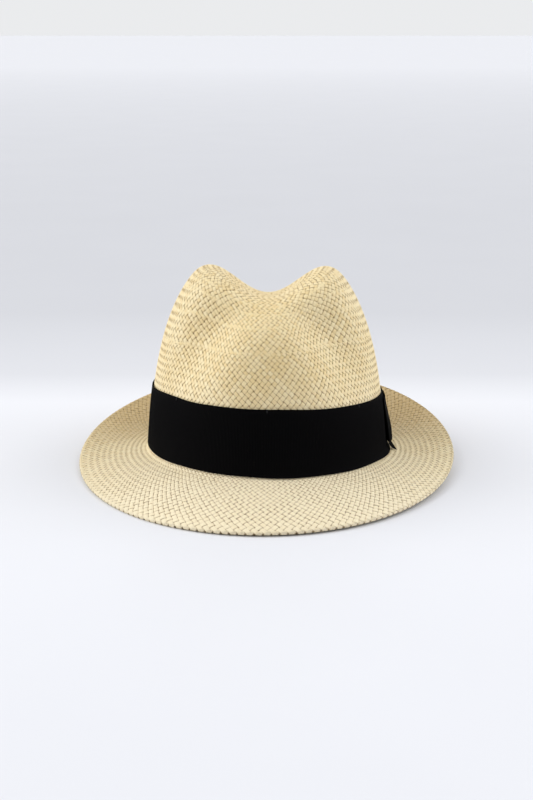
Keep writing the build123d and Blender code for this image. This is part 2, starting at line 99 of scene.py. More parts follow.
@dataclass
class HatForm:
    """The hat's surface: crown, roll, brim and hem, all from closed formulas in millimetres."""

    half_width: float = 84.0
    half_length: float = 101.2
    egg: float = 0.016
    rise: float = 141.9
    power: float = 2.79
    taper: float = 0.12
    lean: float = 3.5
    back_drop: float = 6.2
    dent_depth: float = 34.5
    dent_half_width: float = 54.4
    dent_x: float = 0.8
    dent_y: float = 6.5
    dent_half_length: float = 65.4
    dent_start: float = 0.45
    dent_full: float = 0.85
    pinch_depth: float = 13.6
    pinch_angle: float = 39.9
    pinch_seat: float = 0.8
    pinch_height: float = 90.5
    pinch_width: float = 24.0
    pinch_tall: float = 34.0
    pinch_slant: float = 0.35
    pinch_reach: float = 60.0
    pinch_fade: float = 20.0
    roll: float = 4.5
    brim_length: Triple = (46.2, 44.3, 44.3)
    start_slope: Triple = (-25.3, -8.6, 24.0)
    edge_slope: Triple = (-29.3, 5.6, 61.9)
    side_length_skew: float = -0.7
    front_length_skew: float = -2.0
    start_skew: float = 2.8
    edge_skew: float = 4.4
    slope_power: float = 1.2
    tilt: float = 5.0
    hem_radius: float = 0.75
    hem_length: float = 8.0
    straw_depth: float = 0.55
    shift: Array = field(default_factory=lambda: np.zeros(3))

    def __post_init__(self) -> None:
        """Slide the formula onto the frame's straw solid."""
        low, high = (np.array(corner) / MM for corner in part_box("straw_body"))
        angle = np.linspace(0, TAU, 361)[None, :]
        crown = self.place(self.skin(angle, np.linspace(0.02, 1, 120)[:, None])) / MM
        edge = self.place(self.skin(angle, np.linspace(2.9, 3.4, 30)[:, None])) / MM
        middle = (edge.reshape(-1, 3).min(0) + edge.reshape(-1, 3).max(0)) / 2
        self.shift = np.array(
            [
                (low[0] + high[0]) / 2 - middle[0],
                (low[1] + high[1]) / 2 - middle[1],
                high[2] - crown[..., 2].max(),
            ]
        )

    def place(self, points: Array) -> Array:
        """Points of the hat's own frame, in the shared frame in metres.

        y' = y cos t + z sin t and z' = z cos t - y sin t, then the shift.

        Args:
            points: Array whose last axis holds x, y and z in millimetres.

        Returns:
            The same points in metres.
        """
        turn = math.radians(self.tilt)
        y = points[..., 1] * math.cos(turn) + points[..., 2] * math.sin(turn)
        z = points[..., 2] * math.cos(turn) - points[..., 1] * math.sin(turn)
        return (np.stack([points[..., 0], y, z], axis=-1) + self.shift) * MM

    @staticmethod
    def around(angle: Array, front_side_back: Triple) -> Array:
        """Value round the hat: side + (front - back)/2 c + ((front + back)/2 - side) c^2, c = cos.

        Args:
            angle: Angle from the front in radians.
            front_side_back: Values at the front, the sides and the back.

        Returns:
            The value at each angle.
        """
        front, side, back = front_side_back
        turn = np.cos(angle)
        return side + (front - back) / 2 * turn + ((front + back) / 2 - side) * turn * turn

    def oval(self, angle: Array) -> tuple[Array, Array, Array, Array]:
        """Foot of the crown wall: (a sin(1 - e cos), -b cos) and its outward direction.

        Args:
            angle: Angle from the front in radians.

        Returns:
            x, y and the two parts of the outward direction.
        """
        sine, cosine = np.sin(angle), np.cos(angle)
        x = self.half_width * sine * (1 - self.egg * cosine)
        y = -self.half_length * cosine
        out_x, out_y = self.half_length * sine, -self.half_width * cosine
        size = np.hypot(out_x, out_y)
        return x, y, out_x / size, out_y / size

    def crown(self, angle: Array, reach: Array, rise: Array) -> Array:
        """Crown surface: a superellipse of revolution over the oval, pinched and dented.

        Args:
            angle: Angle from the front in radians.
            reach: Share of the foot's width, before the taper.
            rise: Share of the crown's height.

        Returns:
            Points in millimetres.
        """
        foot_x, foot_y, _, _ = self.oval(angle)
        reach = reach * (1 - self.taper * rise)
        x = reach * foot_x
        y = reach * foot_y + self.lean * rise
        drop = self.back_drop * rise * (y / self.half_length + 1) / 2
        z = self.rise * rise - drop + self.roll
        x, y = self.pinched(x, y, z)
        onset = smooth((z / self.rise - self.dent_start) / (self.dent_full - self.dent_start))
        along = 1 / (1 + np.abs((y - self.dent_y) / self.dent_half_length) ** 4)
        wide = np.minimum(np.abs(x - self.dent_x) / self.dent_half_width, 1.0)
        z = z - self.dent_depth * onset * along * 0.5 * (1 + np.cos(math.pi * wide))
        return np.stack(np.broadcast_arrays(x, y, z), axis=-1)

    def pinched(self, x: Array, y: Array, z: Array) -> tuple[Array, Array]:
        """Push points in at the front pinches: depth exp(-(across/w)^2 - (above/h)^2).

        Args:
            x: Across the hat.
            y: Along the hat.
            z: Height.

        Returns:
            The moved x and y.
        """
        angle = math.radians(self.pinch_angle)
        for side in (1, -1):
            seat_x = side * self.pinch_seat * self.half_width * math.sin(angle)
            seat_y = -self.pinch_seat * self.half_length * math.cos(angle)
            out_x = side * self.half_length * math.sin(angle)
            out_y = -self.half_width * math.cos(angle)
            size = math.hypot(out_x, out_y)
            out_x, out_y = out_x / size, out_y / size
            above = z - self.pinch_height
            across = side * (-(x - seat_x) * out_y + (y - seat_y) * out_x)
            across = across + self.pinch_slant * above
            inside = (x - seat_x) * out_x + (y - seat_y) * out_y
            past = np.minimum(inside + self.pinch_reach, 0.0) / self.pinch_fade
            push = np.exp(
                -((across / self.pinch_width) ** 2) - (above / self.pinch_tall) ** 2 - past**2
            )
            x = x - self.pinch_depth * push * out_x
            y = y - self.pinch_depth * push * out_y
        return x, y

    def slopes(self, angle: Array) -> tuple[Array, Array]:
        """Slopes of the brim where it starts and at its edge, in radians.

        Args:
            angle: Angle from the front in radians.

        Returns:
            The two slopes.
        """
        skew = np.sin(angle) * (1 - np.cos(angle))
        start = self.around(angle, self.start_slope) + self.start_skew * skew
        edge = self.around(angle, self.edge_slope) + self.edge_skew * skew
        return np.radians(start), np.radians(edge)

    def fold(self, angle: Array, turn: Array) -> Array:
        """Rounding between wall and brim: an arc of radius roll from straight down to the slope.

        Args:
            angle: Angle from the front in radians.
            turn: 0 at the wall, 1 at the brim.

        Returns:
            Points in millimetres.
        """
        foot_x, foot_y, out_x, out_y = self.oval(angle)
        start, _ = self.slopes(angle)
        heading = -math.pi / 2 + turn * (start + math.pi / 2)
        out = self.roll * (1 + np.sin(heading))
        z = self.roll * (1 - np.cos(heading))
        return np.stack(np.broadcast_arrays(foot_x + out * out_x, foot_y + out * out_y, z), -1)

    def brim(self, angle: Array, along: Array) -> Array:
        """Brim: the slope grows from start to edge as along^power, summed over twelve steps.

        Args:
            angle: Angle from the front in radians.
            along: 0 at the fold, 1 at the edge.

        Returns:
            Points in millimetres.
        """
        _, _, out_x, out_y = self.oval(angle)
        start, edge = self.slopes(angle)
        skew = self.side_length_skew + self.front_length_skew * np.cos(angle)
        length = self.around(angle, self.brim_length) + skew * np.sin(angle)
        steps = (np.arange(12) + 0.5) / 12
        part = np.asarray(along)[..., None] * steps
        slope = start[..., None] + (edge - start)[..., None] * part**self.slope_power
        out = np.cos(slope).mean(-1) * length * along
        rise = np.sin(slope).mean(-1) * length * along
        sideways = np.stack(np.broadcast_arrays(out * out_x, out * out_y, rise), -1)
        return self.fold(angle, np.ones_like(angle)) + sideways

    def skin(self, angle: Array, station: Array) -> Array:
        """Outer face; station 0 top, 1 wall's foot, 2 fold's end, 3 edge, 3 to 4 round the hem,
        4 to 5 back under the brim.

        Args:
            angle: Angle from the front in radians.
            station: Place along the hat's profile.

        Returns:
            Points in millimetres.
        """
        angle, station = np.broadcast_arrays(np.asarray(angle, float), np.asarray(station, float))
        turn = math.pi / 2 * (1 - np.clip(station, 0, 1))
        share = 2 / self.power
        crown = self.crown(angle, np.cos(turn).clip(0) ** share, np.sin(turn).clip(0) ** share)
        fold = self.fold(angle, np.clip(station - 1, 0, 1))
        hem = self.hem_length / self.brim_length[1]
        along = np.clip(station - 2, 0, 1) - np.clip(station - 4, 0, 1) * hem
        brim = self.brim(angle, along)
        points = np.where((station > 1)[..., None], fold, crown)
        points = np.where((station > 2)[..., None], brim, points)
        past = station > 3
        if past.any():
            ahead = unit(self.brim(angle, along + 0.004) - self.brim(angle, along - 0.004))
            _, _, out_x, out_y = self.oval(angle)
            side = np.stack([-out_y, out_x, np.zeros_like(out_x)], -1)
            up = unit(np.cross(ahead, side))
            bend = math.pi * np.clip(station - 3, 0, 1)[..., None]
            radius = self.hem_radius + self.straw_depth
            folded = points + radius * (ahead * np.sin(bend) + up * (np.cos(bend) - 1))
            points = np.where(past[..., None], folded, points)
        return points

    def out(self, angle: Array, station: Array) -> Array:
        """Direction square to the outer face, away from the head, by central differences.

        Args:
            angle: Angle from the front in radians.
            station: Place along the hat's profile.

        Returns:
            Unit vectors.
        """
        small = 0.002
        down = self.skin(angle, station + small) - self.skin(angle, np.maximum(station - small, 0))
        side = self.skin(angle + small, station) - self.skin(angle - small, station)
        return unit(np.cross(down, side))

    def wall(self, angle: Array, height: Array) -> Array:
        """Outer face of the crown wall, or of the fold below it, at one height.

        The share of the rise is corrected five times by the height still missing.

        Args:
            angle: Angle from the front in radians.
            height: Height above the fold's underside, in millimetres.

        Returns:
            Points in millimetres.
        """
        angle, height = np.broadcast_arrays(np.asarray(angle, float), np.asarray(height, float))
        rise = np.maximum((height - self.roll) / self.rise, 0.0)
        for _ in range(5):
            turn = np.arcsin(np.clip(rise, 0, 1) ** (self.power / 2))
            points = self.crown(angle, np.cos(turn) ** (2 / self.power), rise)
            rise = np.maximum(rise + (height - points[..., 2]) / self.rise, 0.0)
        foot_x, foot_y, out_x, out_y = self.oval(angle)
        under = np.clip(self.roll - height, 0, self.roll)
        out = self.roll - np.sqrt(self.roll**2 - under**2)
        low = np.stack([foot_x + out * out_x, foot_y + out * out_y, height], -1)
        return np.where((height < self.roll)[..., None], low, points)

    def wall_out(self, angle: Array, height: Array) -> Array:
        """Level outward direction of the crown wall at one height.

        Args:
            angle: Angle from the front in radians.
            height: Height in millimetres.

        Returns:
            Unit vectors.
        """
        small = 0.004
        ahead = self.wall(angle + small, height) - self.wall(angle - small, height)
        level = np.stack([ahead[..., 1], -ahead[..., 0], np.zeros_like(ahead[..., 0])], -1)
        return unit(level)

    def turned(self, directions: Array) -> Array:
        """Directions of the hat's own frame, in the shared frame."""
        return (self.place(directions) - self.place(np.zeros(3))) / MM

    def level(self, angle: Array, height: Array, out: Array, skew: Array = 0.0) -> Array:
        """Point off the wall: its height is lowered by x tan(skew), then it moves out level.

        Args:
            angle: Angle from the front in radians.
            height: Height in millimetres.
            out: Distance outwards in millimetres.
            skew: Sideways slant in degrees.

        Returns:
            Points in millimetres.
        """
        lean = np.tan(np.radians(skew))
        height = height - self.wall(angle, height)[..., 0] * lean
        return self.wall(angle, height) + np.asarray(out)[..., None] * self.wall_out(angle, height)

    def frame(self, angle: float, height: float, out: float) -> tuple[Array, Array, Array, Array]:
        """Axes on the wall: place, round the hat, up the wall and outwards.

        Args:
            angle: Angle from the front in radians.
            height: Height in millimetres.
            out: Distance outwards in millimetres.

        Returns:
            Origin in millimetres and three unit vectors.
        """
        turns = np.array([angle, angle + 0.002, angle])
        heights = np.array([height, height, height + 1])
        here, ahead, above = self.level(turns, heights, np.full(3, out))
        side = unit(ahead - here)
        up = unit(above - here)
        up = unit(up - side * (up @ side))
        return here, side, up, np.cross(side, up)


# ------------------------------------------------------------------ mesh building


@dataclass
class Block:
    """One closed run of geometry with its per-vertex values."""

    points: Array
    quads: Array
    tris: Array
    cloth: Array
    tone: Array
    height: Array

    def outward(self) -> "Block":
        """The block with its faces turned outwards, told by the sign of its volume.

        Returns:
            This block.
        """
        tris = np.concatenate([self.quads[:, [0, 1, 2]], self.quads[:, [0, 2, 3]], self.tris])
        a, b, c = (self.points[tris[:, corner]] for corner in range(3))
        middle = self.points.mean(0)
        if np.einsum("ij,ij->", a - middle, np.cross(b - middle, c - middle)) < 0:
            self.quads, self.tris = self.quads[:, ::-1], self.tris[:, ::-1]
        return self


class MeshPart:
    """Blocks gathered before one Blender object is made."""

    def __init__(self) -> None:
        """Start with no blocks."""
        self.blocks: list[Block] = []

    def add(self, block: Block) -> None:
        """Append one block."""
        self.blocks.append(block.outward())

    def build(self, name: str, material: bpy.types.Material, slot: str) -> bpy.types.Object:
        """Make the Blender object.

        Args:
            name: Object name.
            material: Its material.
            slot: Material slot of the record; not used.

        Returns:
            The new object, at the origin, riding on the hat.
        """
        starts = np.cumsum([0] + [len(block.points) for block in self.blocks])
        pairs = list(zip(self.blocks, starts))
        points = np.concatenate([block.points for block in self.blocks])
        quads = np.concatenate([block.quads + start for block, start in pairs])
        tris = np.concatenate([block.tris + start for block, start in pairs])
        corners = np.concatenate([quads.ravel(), tris.ravel()])
        first_tri = len(quads) * 4
        starts = [np.arange(len(quads)) * 4, first_tri + np.arange(len(tris)) * 3]
        first = np.concatenate(starts)
        mesh = bpy.data.meshes.new(name)
        mesh.vertices.add(len(points))
        mesh.vertices.foreach_set("co", points.astype(np.float32).ravel())
        mesh.loops.add(len(corners))
        mesh.loops.foreach_set("vertex_index", corners.astype(np.int32))
        mesh.polygons.add(len(first))
        mesh.polygons.foreach_set("loop_start", first.astype(np.int32))
        mesh.polygons.foreach_set("use_smooth", np.ones(len(first), bool))
        mesh.update(calc_edges=True)
        self.store(mesh, "cloth", "FLOAT2", "vector", [block.cloth for block in self.blocks])
        self.store(mesh, "tone", "FLOAT", "value", [block.tone for block in self.blocks])
        self.store(mesh, "height", "FLOAT", "value", [block.height for block in self.blocks])
        mesh.validate()
        mesh.materials.append(material)
        piece = bpy.data.objects.new(name, mesh)
        bpy.context.scene.collection.objects.link(piece)
        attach(piece, "root")
        LOG.info("%s: %d triangles", name, len(quads) * 2 + len(tris))
        return piece

    @staticmethod
    def store(mesh: bpy.types.Mesh, name: str, kind: str, key: str, values: list[Array]) -> None:
        """Keep a per-vertex value on the mesh.

        Args:
            mesh: The mesh.
            name: Attribute name.
            kind: Attribute type.
            key: Name of its data field.
            values: One array per block.
        """
        made = mesh.attributes.new(name, kind, "POINT")
        made.data.foreach_set(key, np.concatenate(values).astype(np.float32).ravel())


def tube_faces(rows: int, around: int, closed: bool) -> tuple[Array, Array]:
    """Quads of a tube of rows by around vertices, and fan caps at its two ends.

    Args:
        rows: Vertices along the tube.
        around: Vertices round it.
        closed: True where the last row joins the first, so there are no caps.

    Returns:
        Quad and triangle indices.
    """
    row = np.arange(rows if closed else rows - 1)[:, None]
    col = np.arange(around)[None, :]
    ahead, beside = (row + 1) % rows, (col + 1) % around
    corners = [row * around + col, row * around + beside, ahead * around + beside]
    quads = np.stack([*corners, ahead * around + col], -1).reshape(-1, 4)
    if closed:
        return quads, np.zeros((0, 3), int)
    fan = np.arange(1, around - 1)
    first = np.stack([np.zeros_like(fan), fan + 1, fan], -1)
    last = np.stack([np.zeros_like(fan), fan, fan + 1], -1) + (rows - 1) * around
    return quads, np.concatenate([first, last])


def tubes(points: Array, cloth: Array, tone: Array, height: Array, closed: bool = False) -> Block:
    """Many tubes at once from a grid of points: tube, row along it, corner round it.

    Args:
        points: Positions in metres, (tubes, rows, around, 3).
        cloth: Surface coordinates that spread to (tubes, rows, around, 2).
        tone: One value per tube.
        height: Values that spread to (tubes, rows, around).
        closed: True where each tube's last row joins its first.

    Returns:
        One block.
    """
    count, rows, around, _ = points.shape
    quads, tris = tube_faces(rows, around, closed)
    offsets = (np.arange(count) * rows * around)[:, None, None]
    grid = (count, rows, around)
    return Block(
        points.reshape(-1, 3),
        (quads[None] + offsets).reshape(-1, 4),
        (tris[None] + offsets).reshape(-1, 3),
        np.broadcast_to(cloth, (*grid, 2)).reshape(-1, 2),
        np.broadcast_to(np.asarray(tone)[:, None, None], grid).ravel(),
        np.broadcast_to(height, grid).ravel(),
    )


def sweep(path: Array, side: Array, up: Array, outline: Array, closed: bool, tone: float) -> Block:
    """Sweep an outline along a path: point = path + a side + b up for each (a, b) of it.

    Args:
        path: Path points in metres, (n, 3).
        side: Sideways directions along the path, (n, 3).
        up: Upward directions along the path, (n, 3).
        outline: Outline in millimetres, (m, 2), or one for each path point, (n, m, 2).
        closed: True where the path is a ring.
        tone: Random value of this piece.

    Returns:
        One block; its cloth coordinates are millimetres along and round.
    """
    outline = np.broadcast_to(outline, (len(path), *outline.shape[-2:]))
    spread = outline[..., :1] * side[:, None] + outline[..., 1:] * up[:, None]
    points = path[:, None] + spread * MM
    length = np.concatenate([[0], np.cumsum(np.linalg.norm(np.diff(path, axis=0), axis=1))]) / MM
    lap = np.linalg.norm(np.diff(outline[0], axis=0, prepend=outline[0][:1]), axis=1).cumsum()
    cloth = np.stack(np.broadcast_arrays(length[:, None], lap[None, :]), -1)
    high = outline[..., 1] / max(np.abs(outline[..., 1]).max(), 1e-6)
    return tubes(points[None], cloth[None], np.array([tone]), high[None], closed)


def round_outline(width: float, height: float, corners: int) -> Array:
    """Ellipse outline: (width/2 cos, height/2 sin).

    Args:
        width: Full width in millimetres.
        height: Full height in millimetres.
        corners: Number of points.

    Returns:
        Outline points, (corners, 2).
    """
    turn = np.arange(corners) / corners * TAU
    return np.stack([width / 2 * np.cos(turn), height / 2 * np.sin(turn)], -1)


def edged(half: float, rows: int) -> Array:
    """Places from -half to half, closer together at both ends: half sin(t), t from -90 to 90.

    Args:
        half: Half the width in millimetres.
        rows: Number of places.

    Returns:
        The places.
    """
    turn = np.linspace(-1, 1, rows)
    return half * (0.55 * np.sin(turn * math.pi / 2) + 0.45 * turn)


# ------------------------------------------------------------------ shader maths

Number = Union[float, "Value"]


class Value:
    """A node socket with arithmetic, so that shader maths reads as an expression."""

    def __init__(self, shader: "Shader", socket: bpy.types.NodeSocket) -> None:
        """Wrap one output.

        Args:
            shader: Material the node belongs to.
            socket: The output.
        """
        self.shader = shader
        self.socket = socket

    def _math(self, kind: str, left: Any, right: Any = None) -> "Value":
        """Add one Math node.

        Args:
            kind: Operation.
            left: First operand.
            right: Second operand, or None where there is only one.

        Returns:
            Its result.
        """
        links = [left] if right is None else [left, right]
        return self.shader.node("ShaderNodeMath", {"operation": kind}, links)

    def __add__(self, other: Number) -> "Value":
        """This value plus another."""
        return self._math("ADD", self, other)

    def __radd__(self, other: Number) -> "Value":
        """Another value plus this one."""
        return self._math("ADD", other, self)

    def __sub__(self, other: Number) -> "Value":
        """This value minus another."""
        return self._math("SUBTRACT", self, other)

    def __rsub__(self, other: Number) -> "Value":
        """Another value minus this one."""
        return self._math("SUBTRACT", other, self)

    def __mul__(self, other: Number) -> "Value":
        """This value times another."""
        return self._math("MULTIPLY", self, other)

    def __rmul__(self, other: Number) -> "Value":
        """Another value times this one."""
        return self._math("MULTIPLY", other, self)

    def sine(self) -> "Value":
        """Sine of the value in radians."""
        return self._math("SINE", self)

    def clamp(self) -> "Value":
        """The value held between 0 and 1."""
        return self.shader.node("ShaderNodeClamp", {}, [self])

    def remap(self, low: float, high: float, new_low: float, new_high: float) -> "Value":
        """Map low..high to new_low..new_high, held at both ends."""
        return self.shader.node("ShaderNodeMapRange", {}, [self, low, high, new_low, new_high])


class Shader:
    """One node material, built on a Principled shader."""

    def __init__(self, name: str, roughness: float, **constants: float) -> None:
        """Start a material.

        Args:
            name: Material name.
            roughness: Its roughness.
            **constants: Other inputs of the surface, with _ for each space.
        """
        self.material = bpy.data.materials.new(name)
        self.material.use_nodes = True
        self.tree = self.material.node_tree
        self.surface = next(n for n in self.tree.nodes if n.type == "BSDF_PRINCIPLED")
        self.surface.inputs["Roughness"].default_value = roughness
        for key, value in constants.items():
            self.surface.inputs[key.replace("_", " ")].default_value = value

    def node(
        self,
        kind: str,
        settings: Optional[dict[str, Any]] = None,
        inputs: Union[Sequence[Any], dict[str, Any]] = (),
        output: Union[int, str] = 0,
    ) -> Value:
        """Add a node.

        Args:
            kind: Node type.
            settings: Attributes to set on it.
            inputs: Values or links, in order or by input name.
            output: Output to return.

        Returns:
            The chosen output.
        """
        made = self.tree.nodes.new(kind)
        for key, value in (settings or {}).items():
            setattr(made, key, value)
        pairs = inputs.items() if isinstance(inputs, dict) else enumerate(inputs)
        for key, value in pairs:
            if isinstance(value, Value):
                self.tree.links.new(value.socket, made.inputs[key])
            elif value is not None:
                made.inputs[key].default_value = value
        return Value(self, made.outputs[output])

    def attribute(self, name: str, output: str = "Fac") -> Value:
        """A value stored on the mesh."""
        return self.node("ShaderNodeAttribute", {"attribute_name": name}, output=output)

    def part(self, vector: Value, axis: str) -> Value:
        """The X, Y or Z of a vector."""
        return self.node("ShaderNodeSeparateXYZ", {}, [vector], output=axis)

    def place(self) -> Value:
        """Object coordinates."""
        return self.node("ShaderNodeTexCoord", output="Object")

    def noise(self, where: Value, scale: float, detail: float = 2.0, rough: float = 0.5) -> Value:
        """Noise from 0 to 1 at the given coordinates."""
        inputs = {"Vector": where, "Scale": scale, "Detail": detail, "Roughness": rough}
        return self.node("ShaderNodeTexNoise", {}, inputs)

    def stretched(self, where: Value, scale: Triple) -> Value:
        """Coordinates multiplied part by part."""
        return self.node("ShaderNodeVectorMath", {"operation": "MULTIPLY"}, [where, scale])

    def mix(self, factor: Number, first: Any, second: Any) -> Value:
        """Mix two colours."""
        inputs = {0: factor, 6: colour(first), 7: colour(second)}
        return self.node("ShaderNodeMix", {"data_type": "RGBA"}, inputs, output=2)

    def darken(self, tint: Value, factor: Number) -> Value:
        """Multiply a colour by a grey value.

        Args:
            tint: The colour.
            factor: Grey value.

        Returns:
            The darker colour.
        """
        grey = self.node("ShaderNodeCombineColor", {}, [factor, factor, factor])
        inputs = {0: 1.0, 6: tint, 7: grey}
        settings = {"data_type": "RGBA", "blend_type": "MULTIPLY"}
        return self.node("ShaderNodeMix", settings, inputs, output=2)

    def bump(self, height: Value, distance: float, strength: float = 1.0) -> Value:
        """Bump of the given height in metres."""
        inputs = {"Strength": strength, "Distance": distance, "Height": height}
        return self.node("ShaderNodeBump", {}, inputs)

    def link(self, name: str, value: Value) -> None:
        """Feed an input of the surface."""
        self.tree.links.new(value.socket, self.surface.inputs[name])


def colour(value: Any) -> Any:
    """A colour with alpha, from three numbers; sockets pass through."""
    return value if isinstance(value, Value) else (*value, 1.0)


# ------------------------------------------------------------------ finishes


@dataclass(frozen=True)
class StrawFinish:
    """Bleached straw: pale strands; painted shade, brown at strand edges and under crossings, near
    black in pinholes, tan on the back of the brim; a paler, pinker brim, partly painted light at
    the front.
    """

    name: str = "straw"
    pale: Triple = (0.95, 0.82, 0.52)
    warm: Triple = (0.84, 0.64, 0.30)
    brim_pale_and_lit: Triple = (0.97, 0.87, 0.65)
    rear_shade_tan: Triple = (0.68, 0.49, 0.22)
    gap_shade_brown: Triple = (0.32, 0.17, 0.045)
    pinhole_shade: Triple = (0.07, 0.035, 0.012)
    roughness: float = 0.44
    brim_levels: Pair = (0.03, 0.08)
    front_reach: Pair = (-0.1, 0.0)
    rear_reach: Pair = (0.0, 0.07)
    wall_levels: Pair = (0.07, 0.1)
    gap_shade_depths: Pair = (-0.8, 0.45)
    pinhole_shade_depths: Pair = (-1.5, -0.85)

    def build(self) -> bpy.types.Material:
        """Make the material.

        Returns:
            The material.
        """
        shader = Shader(self.name, self.roughness)
        place = shader.place()
        back, level = shader.part(place, "Y"), shader.part(place, "Z")
        height = shader.attribute("height")
        cloud = shader.noise(place, 22.0, 3.0)
        fleck = shader.noise(place, 260.0, 2.0)
        share = shader.attribute("tone") * 0.55 + cloud * 0.5 + fleck * 0.35 - 0.2
        tint = shader.mix(share.clamp(), self.warm, self.pale)
        # Paler, pinker brim, palest at the front: partly the straw's own tint, partly painted light
        # on the front brim, which faces up to the lamps.
        low = level.remap(*self.brim_levels, 0.75, 0.0)
        tint = shader.mix(low * back.remap(*self.front_reach, 1.0, 0.25), tint, self.brim_pale_and_lit)
        # Painted shade: tan on the back of the brim and the foot of the back wall, which lie in
        # shade.
        rear = back.remap(*self.rear_reach, 0.0, 0.8) * level.remap(*self.wall_levels, 1.0, 0.0)
        tint = shader.mix(rear, tint, self.rear_shade_tan)
        # Painted shade: brown where strands dip under their crossings and at their edges.
        tint = shader.mix(height.remap(*self.gap_shade_depths, 0.95, 0.0), tint, self.gap_shade_brown)
        # Painted shade: near black in the pinholes between strands, where the hat's inside shows.
        tint = shader.mix(height.remap(*self.pinhole_shade_depths, 1.0, 0.0), tint, self.pinhole_shade)
        strand = shader.stretched(shader.attribute("cloth", "Vector"), (1.2, 9.0, 1.0))
        fibre = shader.noise(strand, 1.0, 3.0)
        shader.link("Base Color", shader.darken(tint, fibre.remap(0.2, 0.8, 0.9, 1.06)))
        rough = self.roughness
        shader.link("Roughness", fibre.remap(0.2, 0.8, rough - 0.1, rough + 0.12))
        shader.link("Normal", shader.bump(fibre, 0.00006, 0.6))
        return shader.material


@dataclass(frozen=True)
class GrosgrainFinish:
    """Black ribbed ribbon: ribs across it, fine warp threads along it, a little dust, painted sheen
    on the rib crests and painted shade on the face against the wall.
    """

    name: str = "grosgrain"
    black: Triple = (0.0016, 0.0015, 0.0017)
    worn_and_sheen: Triple = (0.006, 0.0058, 0.0064)
    rib: float = 1.0
    warp: float = 0.45
    roughness: float = 0.75

    def build(self) -> bpy.types.Material:
        """Make the material.

        Returns:
            The material.
        """
        shader = Shader(self.name, self.roughness, Specular_IOR_Level=0.02)
        place = shader.place()
        height = shader.attribute("height")
        cloth = shader.attribute("cloth", "Vector")
        along, across = shader.part(cloth, "X"), shader.part(cloth, "Y")
        rib = (along * (TAU / self.rib)).sine() * 0.5 + 0.5
        thread = (across * (TAU / self.warp)).sine() * 0.5 + 0.5
        cloud = shader.noise(place, 30.0, 3.0)
        lint = shader.noise(place, 900.0, 1.0).remap(0.72, 0.8, 0.0, 1.0)
        # Lighter with random tone and dust; painted sheen on rib crests and painted shade on the
        # face against the wall.
        share = (cloud * 0.5 + height * 0.4 + lint * 0.5).clamp()
        shader.link("Base Color", shader.mix(share, self.black, self.worn_and_sheen))
        rough = self.roughness
        shader.link("Roughness", cloud.remap(0.3, 0.7, rough - 0.08, rough + 0.1))
        shader.link("Normal", shader.bump(rib * 0.6 + thread * 0.3 + cloud * 0.2, 0.0001, 0.6))
        return shader.material


@dataclass(frozen=True)
class LeatherFinish:
    """Tan lining leather with a pebbled grain, darker where it is handled."""

    name: str = "sweatband_leather"
    tan: Triple = (0.30, 0.155, 0.07)
    dark: Triple = (0.17, 0.08, 0.035)
    pebbles: float = 1100.0
    roughness: float = 0.42

    def build(self) -> bpy.types.Material:
        """Make the material.

        Returns:
            The material.
        """
        shader = Shader(self.name, self.roughness)
        place = shader.place()
        inputs = {"Vector": place, "Scale": self.pebbles}
        grain = shader.node("ShaderNodeTexVoronoi", {"feature": "DISTANCE_TO_EDGE"}, inputs)
        crack = grain.remap(0.0, 0.16, 0.0, 1.0)
        cloud = shader.noise(place, 35.0, 4.0)
        tint = shader.mix((cloud * 0.9 + crack * 0.25 - 0.1).clamp(), self.dark, self.tan)
        shader.link("Base Color", tint)
        rough = self.roughness
        shader.link("Roughness", cloud.remap(0.3, 0.7, rough - 0.08, rough + 0.12))
        shader.link("Normal", shader.bump(crack, 0.00012, 0.5))
        return shader.material


@dataclass(frozen=True)
class WovenFinish:
    """Fine plain-woven cloth or twisted thread in one colour with slubs."""

    name: str
    base: Triple
    second: Triple
    pitch: float = 0.5
    twist: float = 0.0
    roughness: float = 0.7

    def build(self) -> bpy.types.Material:
        """Make the material.

        Returns:
            The material.
        """
        shader = Shader(self.name, self.roughness)
        place = shader.place()
        cloth = shader.attribute("cloth", "Vector")
        along, across = shader.part(cloth, "X"), shader.part(cloth, "Y")
        first = ((along + across * self.twist) * (TAU / self.pitch)).sine()
        second = (across * (TAU / self.pitch)).sine()
        weave = first * 0.5 + second * (0.0 if self.twist else 0.5)
        slub = shader.noise(place, 400.0, 2.0)
        shader.link("Base Color", shader.mix((weave * 0.3 + slub).clamp(), self.second, self.base))
        rough = self.roughness
        shader.link("Roughness", slub.remap(0.3, 0.7, rough - 0.08, rough + 0.1))
        shader.link("Normal", shader.bump(weave, 0.00008, 0.6))
        return shader.material


@dataclass(frozen=True)
class ReedFinish:
    """Pale extruded plastic with faint draw lines."""

    name: str = "reed_plastic"
    base: Triple = (0.72, 0.69, 0.62)
    shade: float = 0.8
    roughness: float = 0.45

    def build(self) -> bpy.types.Material:
        """Make the material.

        Returns:
            The material.
        """
        shader = Shader(self.name, self.roughness)
        streak = shader.noise(shader.place(), 300.0, 2.0)
        dull = tuple(self.shade * part for part in self.base)
        shader.link("Base Color", shader.mix(streak, self.base, dull))
        shader.link("Roughness", streak.remap(0.3, 0.7, 0.38, 0.52))
        return shader.material


# ------------------------------------------------------------------ the woven body


@dataclass(frozen=True)
class Zone:
    """A run of the weave with one number of strands in each family."""

    name: str
    strands: int
    start: float
    end: float
    samples: int = 8
    shares: int = 1
    overlap: float = 0.0


